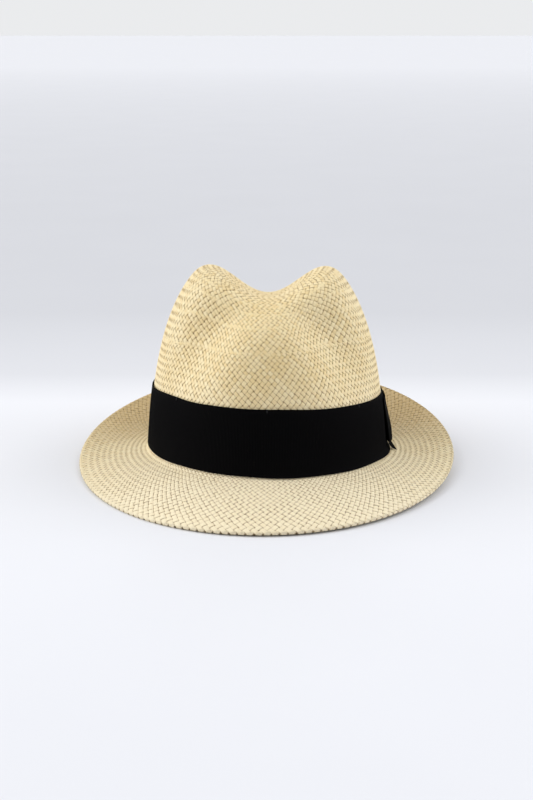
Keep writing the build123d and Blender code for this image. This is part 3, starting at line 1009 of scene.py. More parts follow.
@dataclass
class StrawWeave:
    """Two families of flat strands crossing at right angles over the whole hat.

    The weave coordinate q is strands times the profile length divided by the perimeter, so every
    cell is square. A strand of either family follows p = k + 1/2 +- q round the hat, the crossings
    fall on whole and half q, and the strand stands off the middle by +- swing cos(2 pi q). Its
    section has five corners, in shares of half its width and half its thickness. The height kept
    for the material is wave_share times the wave, plus rest_height, plus edge_flat times its size.
    """

    form: HatForm
    wall_strands: int = 135
    brim_strands: int = 184
    swing: float = 0.27
    thick: float = 0.44
    fill: float = 1.0
    crown_stretch: float = 1.15
    crown_twist: float = 0.15
    groove_depth: float = 0.09
    groove_step: float = 1.5
    joint_height: float = 14.0
    hem_calm: float = 0.85
    hem_pale: float = 1.6
    hem_reach: float = 0.75
    groove_sharpness: int = 12
    sway: float = 0.05
    section: Array = field(
        default_factory=lambda: np.array([[1, 0], [0.66, 1], [-0.66, 1], [-1, 0], [0, -1.0]])
    )
    # Where this height is low the straw material paints shade: brown under crossings and at strand
    # edges, near black in the pinholes.
    wave_share: Array = field(default_factory=lambda: np.array([0, 0.75, 0.75, 0, -0.75]))
    rest_height: Array = field(default_factory=lambda: np.array([-1.5, 0.35, 0.35, -1.5, 0.35]))
    edge_flat: Array = field(default_factory=lambda: np.array([0.6, 0, 0, 0.6, 0]))
    corded: float = 50.0
    cord_width: float = 0.5
    cord_height: float = 0.3
    overlap: float = 0.4
    crown_radii: tuple[float, ...] = (79, 71, 63, 56, 49, 42, 35, 29, 23, 18, 13, 9, 6, 3)
    crown_strands: tuple[int, ...] = (117, 104, 92, 80, 70, 59, 49, 40, 32, 24, 18, 12, 8)
    stations: Array = field(init=False)
    cells: Array = field(init=False)
    radii: Array = field(init=False)
    even: tuple[Array, Array] = field(init=False)

    def __post_init__(self) -> None:
        """Tabulate q for one strand, and the mean radius, at stations from the top to the hem."""
        ease = (1 - np.cos(np.linspace(0, math.pi, 500))) / 2
        self.stations = np.concatenate([ease, 1 + np.linspace(0, 4, 500)[1:]])
        angle = np.linspace(0, TAU, 91)[:-1]
        middle = self.form.skin(angle[None, :], self.stations[:, None])
        out = self.form.out(angle[None, :], self.stations[:, None])
        middle = middle - self.form.straw_depth * out
        step = np.linalg.norm(np.diff(middle, axis=0), axis=-1).mean(1)
        lap = np.linalg.norm(middle - np.roll(middle, 1, axis=1), axis=-1).sum(1)
        self.radii = lap / TAU
        mean = (lap[1:] + lap[:-1]) / 2
        stretch = np.where(self.stations[1:] <= 1, self.crown_stretch, 1.0)
        self.cells = np.concatenate([[0], np.cumsum(step / np.maximum(mean, 6.0) / stretch)])
        fine = np.linspace(0, TAU, 721)
        foot = self.form.skin(fine, np.full_like(fine, 0.98))
        length = np.concatenate([[0], np.cumsum(np.linalg.norm(np.diff(foot, axis=0), axis=1))])
        self.even = (length / length[-1] * TAU, fine)

    def angle(self, share: Array) -> Array:
        """Angle round the hat at a share of its girth, by interpolation on the foot's length."""
        lap = np.floor(share)
        return np.interp((share - lap) * TAU, *self.even) + lap * TAU

    def station_at_radius(self, radius: float) -> float:
        """Station of the crown where the mean radius has this value."""
        crown = self.stations <= 1
        return float(np.interp(radius, self.radii[crown], self.stations[crown]))

    def station_at_height(self, height: float) -> float:
        """Station of the wall at this height.

        Args:
            height: Height in millimetres.

        Returns:
            The station.
        """
        form = self.form
        share = (height - form.roll) / form.rise
        return 1 - math.asin(share ** (form.power / 2)) * 2 / math.pi

    def zones(self) -> list[Zone]:
        """The runs of the weave from the brim's hem to the middle of the crown.

        Returns:
            The zones, from the outside in.
        """
        joint = self.station_at_height(self.joint_height)
        rings = [self.station_at_radius(radius) for radius in self.crown_radii]
        zones = [
            Zone("brim_weave", self.brim_strands, joint, 5.0, shares=3),
            Zone("wall_weave", self.wall_strands, rings[0], joint, shares=2),
        ]
        for count, (outer, inner) in enumerate(zip(rings[:-1], rings[1:])):
            past = self.overlap if self.crown_radii[count] > self.corded else 0.0
            strands = self.crown_strands[count]
            zones.append(Zone(f"crown_weave_{count}", strands, inner, outer, overlap=past))
        return zones

    def strands(self, zone: Zone, family: Family, picked: Array, random: Array) -> Block:
        """The strands of one family in one zone.

        Args:
            zone: The zone.
            family: The family.
            picked: Numbers of the strands to make.
            random: Random numbers from 0 to 1, one row of four for every strand of the zone.

        Returns:
            One block of closed strands.
        """
        form, sign = self.form, family.value
        first, last = np.interp([zone.start, zone.end], self.stations, self.cells) * zone.strands
        last += zone.overlap
        rows = max(5, round((last - first) * zone.samples) + 1)
        q = np.linspace(first, last, rows)
        station = np.interp(q / zone.strands, self.cells, self.stations)[None, :]
        chance = random[picked]
        sway = self.sway * np.sin(q[None, :] * (0.5 + chance[:, :1]) + TAU * chance[:, 1:2])
        twist = 0.0 if zone.name.startswith("brim") else self.crown_twist
        share = (picked[:, None] + 0.5 + (sign + twist) * q[None, :] + sway) / zone.strands
        angle = self.angle(share)
        station = np.broadcast_to(station, angle.shape)
        out = form.out(angle, station)
        middle = form.skin(angle, station) - form.straw_depth * out
        quarter = 0.25 / zone.strands
        ahead_of, behind = self.angle(share + quarter), self.angle(share - quarter)
        pitch = (form.skin(ahead_of, station) - form.skin(behind, station)) / 0.5
        ahead = unit(np.gradient(middle, axis=1))
        side = unit(np.cross(out, ahead))
        half = 0.5 * self.fill * np.abs((pitch * side).sum(-1)) * (0.95 + 0.1 * chance[:, 2:3])
        wave = sign * np.cos(TAU * q)[None, :]
        groove = np.cos(math.pi * q / self.groove_step) ** self.groove_sharpness
        groove = self.groove_depth * groove
        groove = groove * np.clip((station - 2) * 8, 0, 1) * np.clip((3 - station) * 20, 0, 1)
        hem = smooth(1 - np.abs(station - 3.5) / self.hem_reach)
        swing = self.swing * (1 - self.hem_calm * hem) * (0.92 + 0.16 * chance[:, 3:4])
        lift = swing * wave - groove
        centre = (middle + lift[..., None] * out)[:, :, None]
        across = half[..., None, None] * side[:, :, None] * self.section[:, :1]
        points = centre + across + self.thick / 2 * out[:, :, None] * self.section[:, 1:]
        cloth = np.stack(np.broadcast_arrays(q[None, :, None] * 4, self.section[:, 0] + 1), -1)
        cloth = cloth + 20 * chance[:, None, None, :2]
        flat = np.abs(wave[..., None]) * self.edge_flat[None, None, :]
        high = wave[..., None] * self.wave_share + self.rest_height + flat
        high = high + self.hem_pale * hem[..., None]
        return tubes(form.place(points), cloth, chance[:, 2], high)

    def ring_cord(self, station: float, width: float, random: Array) -> list[Block]:
        """Two plies twisted round a ring of the crown, where strands are added.

        Args:
            station: Station of the ring.
            width: Width of a ply in millimetres.
            random: Two random numbers from 0 to 1.

        Returns:
            One closed block for each ply.
        """
        lap = float(np.interp(station, self.stations, self.radii)) * TAU
        twists = max(3, round(lap / (4.2 * width)))
        angle = np.linspace(0, TAU, max(24, twists * 5), endpoint=False)
        at = np.full_like(angle, station)
        out = self.form.out(angle, at)
        base = self.form.skin(angle, at) - (self.form.straw_depth - 0.12) * out
        ahead = unit(np.roll(base, -1, axis=0) - np.roll(base, 1, axis=0))
        side = np.cross(out, ahead)
        plies = []
        for ply in range(2):
            turn = twists * angle + ply * math.pi
            swing = 0.34 * width * (np.cos(turn)[:, None] * side + np.sin(turn)[:, None] * out)
            path = self.form.place(base + swing)
            outline = round_outline(width, width * 0.8, 5)
            beside, above = self.form.turned(side), self.form.turned(out)
            plies.append(sweep(path, beside, above, outline, True, random[ply]))
        return plies

    def build(self, finish: bpy.types.Material) -> list[bpy.types.Object]:
        """Make every piece of the woven body.

        Args:
            finish: The straw material.

        Returns:
            The pieces.
        """
        random = np.random.default_rng(11)
        pieces, crown = [], {family: MeshPart() for family in Family}
        for zone in self.zones():
            for family in Family:
                chance = random.random((zone.strands, 4))
                for share in range(zone.shares):
                    low = zone.strands * share // zone.shares
                    high = zone.strands * (share + 1) // zone.shares
                    block = self.strands(zone, family, np.arange(low, high), chance)
                    if zone.name.startswith("crown"):
                        crown[family].add(block)
                        continue
                    part = MeshPart()
                    part.add(block)
                    name = f"{zone.name}_{family.name.lower()}_{share + 1}"
                    pieces.append(part.build(name, finish, "straw"))
        for family, part in crown.items():
            pieces.append(part.build(f"crown_weave_{family.name.lower()}", finish, "straw"))
        cords = MeshPart()
        for radius in self.crown_radii:
            if radius < self.corded:
                station = self.station_at_radius(radius)
                for ply in self.ring_cord(station, self.cord_width, random.random(2)):
                    ply.height = np.full_like(ply.height, self.cord_height)
                    cords.add(ply)
        cords.add(self.button())
        pieces.append(cords.build("crown_ring_cords", finish, "straw"))
        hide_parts("straw_body")
        return pieces

    def button(self) -> Block:
        """Small closed disc over the middle of the crown, a flattened ball of radius 3 mm.

        Returns:
            One closed block.
        """
        turn = np.linspace(0, TAU, 24, endpoint=False)
        angle = np.zeros(1)
        seat = self.form.skin(angle, np.array([0.0]))[0]
        rise = np.linspace(-1, 1, 9) * math.pi / 2
        radius, height = 2.9 * np.cos(rise) + 0.02, 0.55 * np.sin(rise)
        ring = np.stack([np.cos(turn), np.sin(turn), np.zeros_like(turn)], -1)
        points = seat + radius[:, None, None] * ring + height[:, None, None] * [0, 0, 1]
        points = points - np.array([0, 0, 0.35])
        cloth = np.stack(np.broadcast_arrays(turn[None, :], radius[:, None]), -1)
        grid = self.form.place(points)[None]
        return tubes(grid, cloth[None], np.array([0.5]), np.full((1, 9, 24), 0.4))


# ------------------------------------------------------------------ ribbon and bow


@dataclass
class HatRibbon:
    """Black ribbed ribbon round the crown, its ends meeting under the bow."""

    form: HatForm
    foot: float = 2.2
    top: float = 45.4
    foot_skew: float = 1.2
    top_skew: float = 1.9
    side_dip: float = 2.0
    seat: float = 0.5
    thick: float = 0.5
    rib: float = 1.0
    rib_depth: float = 0.11
    bow_angle: float = math.radians(96)
    butt_gap: float = 0.06
    columns_per_rib: int = 4

    def turns(self, step: float) -> tuple[Array, Array]:
        """Angles evenly spaced by length round the middle of the ribbon, from its butted ends.

        Args:
            step: Spacing in millimetres.

        Returns:
            Angles in radians and lengths in millimetres.
        """
        fine = self.bow_angle + np.linspace(0, TAU, 1441)
        line = self.form.level(fine, np.full_like(fine, (self.foot + self.top) / 2), self.seat)
        length = np.concatenate([[0], np.cumsum(np.linalg.norm(np.diff(line, axis=0), axis=1))])
        ends = self.butt_gap / 2
        along = np.linspace(ends, length[-1] - ends, round(length[-1] / step))
        return np.interp(along, length, fine), along

    def surface(self, angle: Array, share: Array, out: Array) -> Array:
        """Point of the ribbon; its edges wander by two sines and the upper one dips at the sides.

        Args:
            angle: Angle from the front in radians.
            share: 0 at the lower edge, 1 at the upper edge.
            out: Distance off the wall in millimetres.

        Returns:
            Points in millimetres.
        """
        wobble = 0.18 * np.sin(5 * angle + 0.7) + 0.12 * np.sin(11 * angle)
        height = self.foot + (self.top - self.foot) * share + wobble * (2 * share - 1)
        height = height - self.side_dip * share * np.sin(angle) ** 2
        skew = self.foot_skew + (self.top_skew - self.foot_skew) * share
        return self.form.level(angle, height, out, skew)

    def build(self, finish: bpy.types.Material) -> bpy.types.Object:
        """Make the ribbon: an open ring whose ribs are a cosine along its length.

        Args:
            finish: The ribbon material.

        Returns:
            The piece.
        """
        angle, along = self.turns(self.rib / self.columns_per_rib)
        share = np.array([0.0, 0.012, 0.035, 0.08, 0.25, 0.5, 0.75, 0.92, 0.965, 0.988, 1.0])
        share = np.concatenate([share, share[::-1]])
        front = np.arange(len(share)) < len(share) // 2
        inside = np.sin(math.pi * share)[None, :] ** 0.35
        rib = np.cos(along / self.rib * TAU)[:, None]
        edge = np.exp(-((share - 0.022) / 0.012) ** 2) + np.exp(-((share - 0.978) / 0.012) ** 2)
        ease = 0.14 * np.sin(3 * angle + 1.0) + 0.1 * np.sin(8 * angle + 0.5)
        out = self.seat + 0.16 + ease[:, None] * share[None, :] ** 2
        face = self.thick * (0.75 + 0.25 * inside) + self.rib_depth * rib * inside + 0.1 * edge
        out = out + np.where(front[None, :], face, 0.0)
        grid = self.surface(angle[:, None], share[None, :], out)
        cloth = np.stack(np.broadcast_arrays(along[:, None], share * (self.top - self.foot)), -1)
        # Heights for the material: rib crests painted lighter as sheen, the face against the wall
        # painted darker as shade.
        high = np.where(front[None, :], rib * inside * 0.5, -0.5)
        part = MeshPart()
        part.add(tubes(self.form.place(grid)[None], cloth[None], np.array([0.5]), high[None]))
        ribbon = part.build("ribbon_band", finish, "grosgrain")
        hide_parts("hat_band")
        middle = self.surface(angle, np.full_like(angle, 0.5), np.full_like(angle, 1.0))
        return ribbon


@dataclass
class FoldedRibbon:
    """A strip of ribbon bent along a plane path: width across, ribs across its length."""

    rib: float = 1.0
    rib_depth: float = 0.09
    thick: float = 0.5

    def grid(self, path: Array, width: Array, closed: bool) -> tuple[Array, Array, Array]:
        """Points of the strip: path place plus thickness along the path's normal, width apart.

        Args:
            path: Plane path in millimetres, (n, 2), evenly spaced.
            width: Full width at each path point.
            closed: True where the path is a ring.

        Returns:
            Grid of (path a, path b, across) in millimetres, its cloth coordinates and heights.
        """
        if closed:
            ahead = np.roll(path, -1, axis=0) - np.roll(path, 1, axis=0)
        else:
            ahead = np.gradient(path, axis=0)
        ahead = unit(ahead)
        normal = np.stack([-ahead[:, 1], ahead[:, 0]], -1)
        across = edged(0.5, 9)
        across = np.concatenate([across, across[::-1]])
        front = np.where(np.arange(18) < 9, -0.5, 0.5)
        step = np.linalg.norm(np.diff(path, axis=0), axis=1)
        length = np.concatenate([[0], np.cumsum(step)])
        lap = length[-1] + (step.mean() if closed else 0)
        ribs = round(lap / self.rib)
        rib = np.cos(length / lap * ribs * TAU)[:, None] * np.sin(math.pi * (across + 0.5)) ** 0.3
        push = front[None, :] * (self.thick + self.rib_depth * rib)
        plane = path[:, None, :] + push[..., None] * normal[:, None, :]
        sideways = width[:, None] * across[None, :]
        grid = np.concatenate([plane, sideways[..., None]], -1)
        cloth = np.stack(np.broadcast_arrays(length[:, None], sideways), -1)
        # These heights make the ribbon's material paint the rib crests a little lighter as sheen.
        return grid, cloth, rib * 0.5


def resample(path: Array, step: float, closed: bool) -> Array:
    """The same plane path with evenly spaced points, by linear interpolation on its length.

    Args:
        path: Points, (n, 2).
        step: Spacing wanted.
        closed: True where the path is a ring.

    Returns:
        The new points.
    """
    full = np.concatenate([path, path[:1]]) if closed else path
    length = np.concatenate([[0], np.cumsum(np.linalg.norm(np.diff(full, axis=0), axis=1))])
    count = max(8, round(length[-1] / step))
    at = np.linspace(0, length[-1], count, endpoint=not closed)
    return np.stack([np.interp(at, length, full[:, axis]) for axis in range(2)], -1)


@dataclass
class SideBow:
    """Flat bow of the same ribbon: a folded loop strip, a strap and a pointed tail."""

    ribbon: HatRibbon
    foot: float = 6.0
    tall: float = 31.5
    reach: float = 27.6
    strap_width: float = 12.0
    tail_middle: float = -15.0
    tail_width: float = 15.0
    tail_rise: float = 18.0
    tail_drop: float = 1.5
    tail_point: float = 5.0
    tail_flare: float = 2.0
    wall_radius: float = 101.0
    foot_puff: float = 1.15
    top_press: float = 0.75
    gap: float = 0.2

    def on_wall(self, along: Array, up: Array, off: Array) -> Array:
        """Place points on the ribbon's outside; they lie flatter towards the bow's top.

        Args:
            along: Millimetres round the hat from the bow's middle.
            up: Millimetres above the bow's foot.
            off: Millimetres off the ribbon.

        Returns:
            Points in metres.
        """
        ribbon, form = self.ribbon, self.ribbon.form
        off = off * (self.foot_puff - self.top_press * smooth(up / self.tall))
        angle = ribbon.bow_angle + along / self.wall_radius
        height = ribbon.foot + self.foot + up
        share = (height - ribbon.foot) / (ribbon.top - ribbon.foot)
        skew = ribbon.foot_skew + share * (ribbon.top_skew - ribbon.foot_skew)
        out = ribbon.seat + ribbon.thick + self.gap + off
        return form.place(form.level(angle, height, out, skew))

    def loops(self) -> Block:
        """Both loops as one ring of ribbon, lens-shaped between the strap and each fold.

        Returns:
            One closed block.
        """
        turn = np.linspace(0, TAU, 400, endpoint=False)
        along = self.reach * np.sign(np.cos(turn)) * np.abs(np.cos(turn)) ** 0.55
        plump = 0.55 + 1.15 * np.sin(math.pi * np.abs(along / self.reach).clip(0, 1)) ** 0.8
        off = 1.9 + plump * np.sign(np.sin(turn)) * np.abs(np.sin(turn)) ** 0.4
        path = resample(np.stack([along, off], -1), 0.25, True)
        pinch = np.exp(-((path[:, 0] / 9.0) ** 2))
        grid, cloth, high = FoldedRibbon().grid(path, self.tall * (1 - 0.05 * pinch), True)
        points = self.on_wall(grid[..., 0], grid[..., 2] + self.tall / 2, grid[..., 1])
        return tubes(points[None], cloth[None], np.array([0.5]), high[None], True)

    def strap(self) -> Block:
        """Strap over the loops: a flat ring turned in above and below, with two soft pleats.

        Returns:
            One closed block.
        """
        half, turn = self.tall / 2 + 0.6, np.linspace(0, TAU, 400, endpoint=False)
        up = half * np.sign(np.cos(turn)) * np.abs(np.cos(turn)) ** 0.25 + self.tall / 2
        off = 2.35 + 1.85 * np.sign(np.sin(turn)) * np.abs(np.sin(turn)) ** 0.25
        path = resample(np.stack([up, off], -1), 0.25, True)
        width = self.strap_width * (1 - 0.06 * np.sin(math.pi * path[:, 0] / self.tall).clip(0))
        grid, cloth, high = FoldedRibbon(thick=0.45).grid(path, width, True)
        pleat = 0.3 * np.cos(grid[..., 2] / self.strap_width * 3 * TAU) * (grid[..., 1] > 2.4)
        points = self.on_wall(grid[..., 2], grid[..., 0], grid[..., 1] + pleat)
        return tubes(points[None], cloth[None], np.array([0.5]), high[None], True)

    def tail(self) -> Block:
        """Tail under the front loop, cut on a slant, its end flaring off the hat.

        Returns:
            One closed block.
        """
        down = np.linspace(0, 1, 120)
        across = edged(0.5, 11)
        across = np.concatenate([across, across[::-1]])
        front = np.where(np.arange(22) < 11, 0.0, 0.45)
        share = across + 0.5
        end = -self.tail_drop - self.tail_point * (1 - share)
        up = self.tail_rise + (end[None, :] - self.tail_rise) * down[:, None]
        along = self.tail_middle + self.tail_width * across[None, :] - 1.5 * down[:, None] ** 2
        flare = self.tail_flare * (down[:, None] ** 3) * (1.15 - 0.4 * share[None, :])
        length = down[:, None] * (self.tail_rise - end[None, :])
        rib = np.cos(length * TAU) * 0.05
        off = 0.3 + flare + front[None, :] + np.where(front > 0, rib, 0)
        points = self.on_wall(*np.broadcast_arrays(along, up, off))
        cloth = np.stack(np.broadcast_arrays(length, across * self.tail_width), -1)
        # Rib crests painted a little lighter as sheen in the ribbon's material.
        return tubes(points[None], cloth[None], np.array([0.5]), rib[None] * 8)

    def build(self, finish: bpy.types.Material) -> list[bpy.types.Object]:
        """Make the bow's three pieces.

        Args:
            finish: The ribbon material.

        Returns:
            The pieces.
        """
        pieces = []
        makers: dict[str, tuple[Callable[[], Block], str]] = {
            "bow_ribbon_loops": (self.loops, "bow_loops"),
            "bow_ribbon_strap": (self.strap, "bow_knot"),
            "bow_ribbon_tail": (self.tail, "bow_tail"),
        }
        for name, (make, node) in makers.items():
            part = MeshPart()
            part.add(make())
            piece = part.build(name, finish, "grosgrain")
            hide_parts(node)
            pieces.append(piece)
        return pieces


# ------------------------------------------------------------------ lining


@dataclass
class Lining:
    """Leather sweatband with its reed tape, stitches, small bow and blank tab."""

    form: HatForm
    foot: float = 4.4
    top: float = 39.4
    depth: float = 2.9
    thick: float = 0.9
    seam_gap: float = 0.5
    reed_height: float = 2.6
    reed_depth: float = 2.8
    tape_radius: float = 1.1
    tape_top: float = 11.0
    tape_depth: float = 1.9
    stitch_count: int = 64
    stitch_height: float = 7.6
    stitch_length: float = 4.2
    stitch_slant: float = 25.0
    stitch_width: float = 0.5
    stitch_sink: float = 0.1
    seam_stitch_count: int = 6
    seam_stitch_length: float = 3.0
    reed_width: float = 1.6
    girth_radius: float = 93.0
    bow_height: float = 20.0
    bow_reach: float = 7.8
    bow_tall: float = 7.0
    tab_angle: float = 205.0
    tab_width: float = 12.0
    tab_foot: float = 30.0
    tab_top: float = 46.0

    def inner_face(self) -> float:
        """Distance from the wall's outer skin in to the sweatband's inner face."""
        return self.depth + self.thick / 2

    def band(self) -> Block:
        """Sweatband: an open ring from the rear seam, its upper edge rolled and a little wavy.

        Returns:
            One closed block.
        """
        spread = self.seam_gap / 2 / self.form.half_width
        angle = np.linspace(math.pi + spread, 3 * math.pi - spread, 721)
        share = edged(0.5, 17) + 0.5
        share = np.concatenate([share, share[::-1]])
        front = np.where(np.arange(34) < 17, 0.5, -0.5)
        ends = np.minimum(share, 1 - share)
        bevel = 1 - 0.55 * np.exp(-ends / 0.012)
        wave = 0.14 * np.sin(6 * angle + 0.4) + 0.1 * np.sin(13 * angle + 2.0)
        roll = 0.35 * np.exp(-(1 - share) / 0.05)
        out = -self.depth + front * self.thick * bevel - roll
        out = out[None, :] - np.abs(wave)[:, None] * share[None, :] ** 3 * 0.6
        height = self.foot + (self.top - self.foot) * share[None, :]
        height = height + 0.25 * np.sin(4 * angle)[:, None] * share[None, :] ** 4
        grid = self.form.level(angle[:, None], height, out)
        length = (angle - angle[0]) * self.girth_radius
        cloth = np.stack(np.broadcast_arrays(length[:, None], height), -1)
        high = np.broadcast_to(front, grid.shape[:2])
        return tubes(self.form.place(grid)[None], cloth[None], np.array([0.5]), high[None])

    def tape(self) -> list[Block]:
        """Tape: a tube round the reed and a flange up behind the sweatband.

        Returns:
            The two blocks.
        """
        angle = np.linspace(0, TAU, 480, endpoint=False)
        at = np.full_like(angle, self.reed_height)
        path = self.form.level(angle, at, np.full_like(angle, -self.reed_depth))
        side = self.form.turned(self.form.wall_out(angle, at))
        up = np.broadcast_to(self.form.turned(np.array([0.0, 0.0, 1.0])), side.shape)
        radius = self.tape_radius * (1 + 0.02 * np.sin(40 * angle))[:, None, None]
        outline = round_outline(2, 2, 12)[None] * radius
        tube = sweep(self.form.place(path), side, up, outline, True, 0.4)
        height = np.linspace(self.reed_height + self.tape_radius * 0.9, self.tape_top, 5)
        height = np.concatenate([height, height[::-1]])
        out = -self.tape_depth - np.where(np.arange(10) < 5, 0.0, 0.3)
        grid = self.form.level(angle[:, None], height[None, :], out[None, :])
        cloth = np.stack(np.broadcast_arrays((angle * self.girth_radius)[:, None], height), -1)
        placed, level = self.form.place(grid)[None], np.zeros((1, 1, 1))
        return [tube, tubes(placed, cloth[None], np.array([0.6]), level, True)]

    def reed(self) -> Block:
        """Reed: a round rod along the foot of the sweatband.

        Returns:
            One closed block.
        """
        angle = np.linspace(0, TAU, 480, endpoint=False)
        at = np.full_like(angle, self.reed_height)
        path = self.form.level(angle, at, np.full_like(angle, -self.reed_depth))
        side = self.form.turned(self.form.wall_out(angle, at))
        up = np.broadcast_to(self.form.turned(np.array([0.0, 0.0, 1.0])), side.shape)
        outline = round_outline(self.reed_width, self.reed_width, 8)
        return sweep(self.form.place(path), side, up, outline, True, 0.5)

    def thread(
        self,
        angle: float,
        height: float,
        depth: float,
        length: float,
        slant: float,
        width: float,
    ) -> Block:
        """One stitch or tack: a bowed round thread whose ends dip into the cloth.

        Args:
            angle: Angle from the front in radians.
            height: Height in millimetres.
            depth: Distance outwards of the cloth's face.
            length: Length in millimetres.
            slant: Turn from level in degrees.
            width: Thread width in millimetres.

        Returns:
            One closed block.
        """
        here, side, up, out = self.form.frame(angle, height, depth)
        face = 1 if depth > 0 else -1
        turn = math.radians(slant)
        along = math.cos(turn) * side + math.sin(turn) * up
        t = np.linspace(-1, 1, 9)
        path = here + t[:, None] * along * length / 2
        path = path + face * out * (width * 0.42 * (1 - t[:, None] ** 4) - 0.1)
        across = np.cross(out, along)
        taper = (1 - 0.75 * np.abs(t) ** 6)[:, None, None]
        outline = round_outline(width, width, 6)[None] * taper
        axes = [self.form.turned(direction) for direction in (across, out)]
        sides, ups = (np.broadcast_to(axis, path.shape) for axis in axes)
        return sweep(self.form.place(path), sides, ups, outline, False, 0.5)

    def stitches(self) -> list[Block]:
        """Zigzag stitches along the foot of the sweatband.

        Returns:
            One block for each stitch.
        """
        blocks = []
        for count in range(self.stitch_count):
            angle = math.radians(360 * (count + 0.5) / self.stitch_count)
            slant = self.stitch_slant * (-1) ** count
            place = (angle, self.stitch_height, -self.inner_face() - self.stitch_sink)
            blocks.append(self.thread(*place, self.stitch_length, slant, self.stitch_width))
        return blocks

    def seam_stitches(self) -> list[Block]:
        """Stitches across the rear seam.

        Returns:
            One block for each stitch.
        """
        step = (self.top - self.bow_height - self.bow_tall) / self.seam_stitch_count
        depth = -self.inner_face() - self.stitch_sink
        sizes = (self.seam_stitch_length, 0.0, self.stitch_width)
        heights = [self.top - step * (count + 0.7) for count in range(self.seam_stitch_count)]
        return [self.thread(math.pi, height, depth, *sizes) for height in heights]

    def small_bow(self) -> tuple[list[Block], Block]:
        """Two small loops and the strap over them, on the rear of the sweatband.

        Returns:
            The loops' blocks and the strap's block.
        """
        ribbon = FoldedRibbon(rib=0.8, rib_depth=0.05, thick=0.28)
        here, side, up, out = self.form.frame(math.pi, self.bow_height, -self.inner_face() - 0.5)
        loops = []
        for sign in (1, -1):
            turn = np.linspace(0, TAU, 200, endpoint=False)
            along = self.bow_reach * (1 - np.cos(turn)) / 2
            off = 0.75 + 0.65 * np.sin(turn) * np.sin(turn / 2) ** 2
            path = resample(np.stack([along, off], -1), 0.25, True)
            width = 2.6 + (self.bow_tall - 2.6) * smooth(path[:, 0] / self.bow_reach * 1.4)
            grid, cloth, high = ribbon.grid(path, width, True)
            points = here + sign * grid[..., :1] * side - grid[..., 1:2] * out
            placed = self.form.place(points + grid[..., 2:] * up)[None]
            loops.append(tubes(placed, cloth[None], np.array([0.5]), high[None], True))
        turn = np.linspace(0, TAU, 120, endpoint=False)
        ring = np.stack([2.3 * np.cos(turn), 0.85 + 0.95 * np.sin(turn)], -1)
        path = resample(ring, 0.2, True)
        width = np.full(len(path), 3.0)
        ribbon = FoldedRibbon(rib=0.8, rib_depth=0.05, thick=0.3)
        grid, cloth, high = ribbon.grid(path, width, True)
        points = here + grid[..., 2:] * side - grid[..., 1:2] * out + grid[..., :1] * up
        strap = tubes(self.form.place(points)[None], cloth[None], np.array([0.5]), high[None], True)
        return loops, strap

    def tab(self) -> Block:
        """Blank cloth tab tucked behind the sweatband, its free end curling inwards.

        Returns:
            One closed block.
        """
        middle = (self.tab_foot + self.tab_top) / 2
        here, side, up, out = self.form.frame(math.radians(self.tab_angle), middle, -2.15)
        tall = self.tab_top - self.tab_foot
        rise = np.linspace(-0.5, 0.5, 25)
        across = edged(0.5, 9) * self.tab_width
        across = np.concatenate([across, across[::-1]])
        face = np.where(np.arange(18) < 9, -0.13, 0.13)
        curl = 0.9 * np.clip(rise - 0.1, 0, 1)[:, None] ** 2 / 0.16
        points = (
            here
            + across[None, :, None] * side
            + (rise[:, None] * tall)[..., None] * up
            + (face[None, :] - curl)[..., None] * out
        )
        cloth = np.stack(np.broadcast_arrays((rise * tall)[:, None], across), -1)
        placed = self.form.place(points)[None]
        return tubes(placed, cloth[None], np.array([0.5]), np.zeros((1, 1, 1)))

    def build(self, looks: dict[str, bpy.types.Material]) -> list[bpy.types.Object]:
        """Make the lining's pieces.

        Args:
            looks: Materials by slot.

        Returns:
            The pieces.
        """
        loops, strap = self.small_bow()
        rows = [
            ("leather_sweatband", [self.band()], "sweatband_leather", "sweatband"),
            ("taped_reed", self.tape(), "tape", "reed_tape"),
            ("foot_reed", [self.reed()], "reed_plastic", "sweatband_reed"),
            ("foot_stitches", self.stitches(), "cream_thread", "sweatband_stitches"),
            ("rear_seam_stitches", self.seam_stitches(), "cream_thread", "sweatband_seam_stitches"),
            ("rear_bow_loops", loops, "grosgrain", "inner_bow_loops"),
            ("rear_bow_strap", [strap], "grosgrain", "inner_bow_knot"),
            ("blank_tab", [self.tab()], "tab_cloth", "size_tab"),
        ]
        pieces = []
        for name, blocks, slot, node in rows:
            part = MeshPart()
            for block in blocks:
                part.add(block)
            piece = part.build(name, looks[slot], slot)
            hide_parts(node)
            pieces.append(piece)
        return pieces


